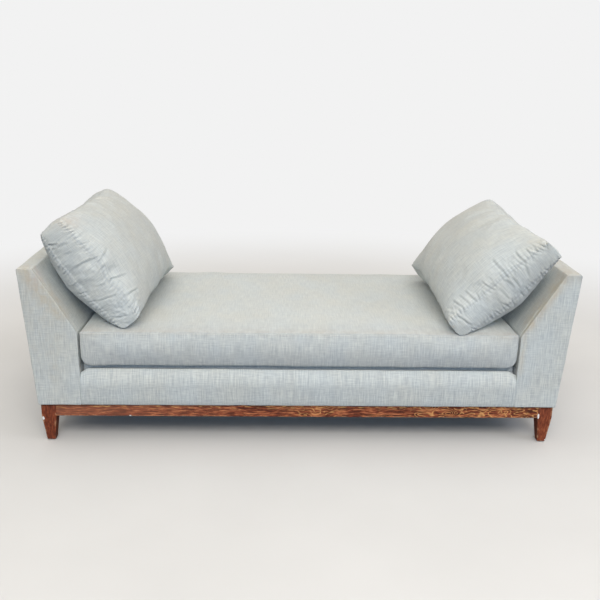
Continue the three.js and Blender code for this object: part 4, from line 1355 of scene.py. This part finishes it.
glide_felt, felt_tree = new_material("glide_felt")
felt_noise = solid_noise(felt_tree, object_place(felt_tree), (700.0, 700.0, 700.0), 4.0, 0.7)
felt_colour = colour_ramp(felt_tree, felt_noise,
                          [(0.3, (0.16, 0.14, 0.12, 1)), (0.7, (0.34, 0.31, 0.27, 1))])
finish_material(felt_tree, Base_Color=felt_colour, Roughness=0.95, Sheen_Weight=0.3,
                Normal=bump(felt_tree, felt_noise, 0.6, 0.6 * MM))
print("hidden finishes:", pine_along_x.name, arm_plywood.name, strap_weave.name, dust_cloth.name)

# %% Finishes of the model's own pieces
FINISHES = [("seat_rail_front seat_rail_back corner_block", pine_along_x),
            ("seat_rail_left seat_rail_right arm_top_rail arm_kink_rail arm_bottom_rail cross_slat",
             pine_along_y), ("arm_board", arm_plywood), ("seat_strap", strap_weave),
            ("dust_cover", dust_cloth), ("glide", glide_felt)]
finished = 0
for starts, finish in FINISHES:
    for node_name, shape in frame["nodes"].items():
        if node_name.startswith(tuple(starts.split())):
            shape.data.materials.clear()
            shape.data.materials.append(finish)
            finished += 1
print("pieces of the model with a finish:", finished)

# %% [markdown]
# Now the wear itself, and some painted shade. The tops and the pillows are rubbed smooth, so their slubs
# show less than those of the fronts. Hands have tanned the arms along the top and the sloping edge, more on
# the right, and a few stains and specks lie where the photograph shows them. Grey is also painted as shade:
# in the seams, over the deck and the tucks in the recess under the cushion, along the front rim of the seat
# and on the lower sloping edge of the left arm.

# %% Wear and painted shade on the covers
def along_edge(start, end, count, reach, kind, strengths):
    """Spots in a row from one place to the other, with strengths taken in turn."""
    steps = np.linspace(0, 1, count)[:, None]
    places = np.array(start) * (1 - steps) + np.array(end) * steps
    return [(place, reach, kind, strengths[i % len(strengths)]) for i, place in enumerate(places)]


ARM_SPOTS = {
    "left": [*along_edge((-1.045, -0.44, 0.712), (-0.905, -0.44, 0.525), 9, (0.030, 0.06, 0.026), TAN,
                         (0.34, 0.46, 0.28, 0.40)),
             # This narrow grey row along the lower sloping edge of the front facing is painted shade that
             # dulls the highlight on the rounded edge.
             *along_edge((-0.960, -0.458, 0.625), (-0.866, -0.458, 0.475), 12, (0.012, 0.012, 0.014), GREY,
                         (0.14, 0.10)),
             *along_edge((-1.05, -0.30, 0.712), (-1.01, 0.30, 0.712), 6, (0.04, 0.09, 0.03), TAN,
                         (0.30, 0.18)),
             ((-0.998, -0.44, 0.675), (0.022, 0.05, 0.035), ROSE, 0.34),
             ((-0.950, -0.45, 0.33), (0.022, 0.05, 0.12), TAN, 0.16),
             ((-1.000, -0.45, 0.62), (0.09, 0.06, 0.20), TAN, 0.22),
             ((-0.950, -0.45, 0.38), (0.12, 0.06, 0.24), TAN, 0.12),
             ((-1.030, -0.45, 0.58), (0.030, 0.05, 0.10), GREY, 0.10)],
    "right": [*along_edge((1.005, -0.455, 0.712), (0.884, -0.455, 0.505), 11, (0.020, 0.075, 0.022), TAN,
                          (0.58, 0.42, 0.66, 0.48)),
              *along_edge((1.04, -0.42, 0.712), (1.03, 0.30, 0.712), 6, (0.05, 0.09, 0.03), TAN,
                          (0.55, 0.42)),
              *along_edge((0.868, -0.457, 0.485), (0.866, -0.457, 0.320), 9, (0.011, 0.03, 0.014), TAN,
                          (0.44, 0.34)),
              ((0.930, -0.42, 0.60), (0.040, 0.06, 0.07), GREY, 0.16),
              ((1.000, -0.44, 0.704), (0.030, 0.05, 0.018), GREY, 0.50),
              ((1.062, -0.45, 0.704), (0.010, 0.03, 0.012), GREY, 0.60),
              ((1.035, -0.20, 0.712), (0.040, 0.40, 0.030), GREY, 0.22)],
}
for (_, hand), piece in facings.items():
    mark(piece, ARM_SPOTS[hand], worn=0.10)
for hand, piece in wraps.items():
    mark(piece, ARM_SPOTS[hand], worn=0.35)
for piece in bands.values():
    mark(piece, [])
# The deck and the tucks are grey all over: painted shade, as the deck's front lies in the recess under the
# cushion and the tucks in the cracks beside the arms.
for piece in [deck_cover, *tucks.values()]:
    mark(piece, [], worn=0.3, dirt_and_shade=0.65)
print("spots on the arms:", {hand: len(spots) for hand, spots in ARM_SPOTS.items()})

# %% Wear and painted seam shade on the pillows
PILLOW_SPOTS = {
    "left": [((-0.72, -0.05, 0.80), (0.30, 0.60, 0.22), TAN, 0.12),
             ((-0.900, -0.43, 0.880), (0.055, 0.05, 0.030), TAN, 0.40),
             ((-0.86, -0.40, 0.89), (0.05, 0.06, 0.03), ROSE, 0.22),
             ((-0.640, -0.44, 0.535), (0.010, 0.03, 0.012), GREY, 0.50),
             ((-0.825, -0.10, 0.91), (0.10, 0.30, 0.05), TAN, 0.04)],
    "right": [((0.70, -0.05, 0.78), (0.30, 0.60, 0.22), TAN, 0.10),
              ((0.868, -0.459, 0.834), (0.055, 0.06, 0.022), TAN, 0.34),
              ((0.585, -0.45, 0.50), (0.006, 0.02, 0.006), TAN, 0.9)],
}
# A grey line along every seam, here and on the seat, is painted shade in the sewn groove.
SEAM_SHADE_REACH = 3.0 * MM
for hand, piece in pillows.items():
    pillow_seam_shade = 0.45 * bell(seam_distance(PILLOW, form_of(piece)) / SEAM_SHADE_REACH)
    mark(piece, PILLOW_SPOTS[hand], worn=0.55, dirt_and_shade=pillow_seam_shade)
print("spots on the pillows:", {hand: len(spots) for hand, spots in PILLOW_SPOTS.items()})

# %% Wear and painted shade on the seat
# Painted shade along the front rim of the top, grey down the front that grows towards its foot, and painted
# shade in the seams
FRONT_RIM_REACH = 80 * MM
SEAT_SPOTS = [((-0.815, -0.44, 0.465), (0.06, 0.05, 0.03), TAN, 0.34),
              ((-0.62, -0.30, 0.478), (0.12, 0.18, 0.05), TAN, 0.16),
              # The tan row along the front of the top is a warm stain and also painted shade on the front
              # rim.
              *along_edge((-0.78, -0.448, 0.468), (0.80, -0.448, 0.468), 27, (0.042, 0.028, 0.012), TAN,
                          (0.30, 0.18, 0.34, 0.22)),
              ((-0.7916, -0.458, 0.4219), (0.006, 0.02, 0.009), GREY, 0.55),
              ((-0.7292, -0.458, 0.3816), (0.008, 0.02, 0.006), GREY, 0.5),
              ((-0.6683, -0.458, 0.3779), (0.009, 0.02, 0.007), GREY, 0.6),
              ((0.79, -0.44, 0.468), (0.05, 0.05, 0.03), TAN, 0.22)]
seat_form = form_of(seat)
_, seat_v, seat_t = seat_form.T
on_top, on_front = seat_t < 0.001, (seat_v < -0.999) & (seat_t > 0.001) & (seat_t < 0.999)
# Grey along the front rim of the top is painted shade.
front_rim_shade = 0.40 * bell((1 + seat_v) * SEAT["wide"] / 2 / FRONT_RIM_REACH) * on_top
# Grey down the front, more and more towards its foot.
front_darker_to_foot = (0.10 + 0.40 * seat_t) * on_front
# Grey on the seams is painted shade in the sewn grooves.
seat_seam_shade = 0.5 * bell(seam_distance(SEAT, seat_form) / SEAM_SHADE_REACH)
mark(seat, SEAT_SPOTS, worn=np.where(on_top, 0.80, 0.05), dirt_and_shade=seat_seam_shade + front_rim_shade + front_darker_to_foot)
print("share of the seat's points on its front:", round(on_front.mean(), 2))

# %% Size and end
size = [[list(corner) for corner in cad_box], [list(corner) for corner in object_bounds()]]
print("CAD box and visual box:", size)
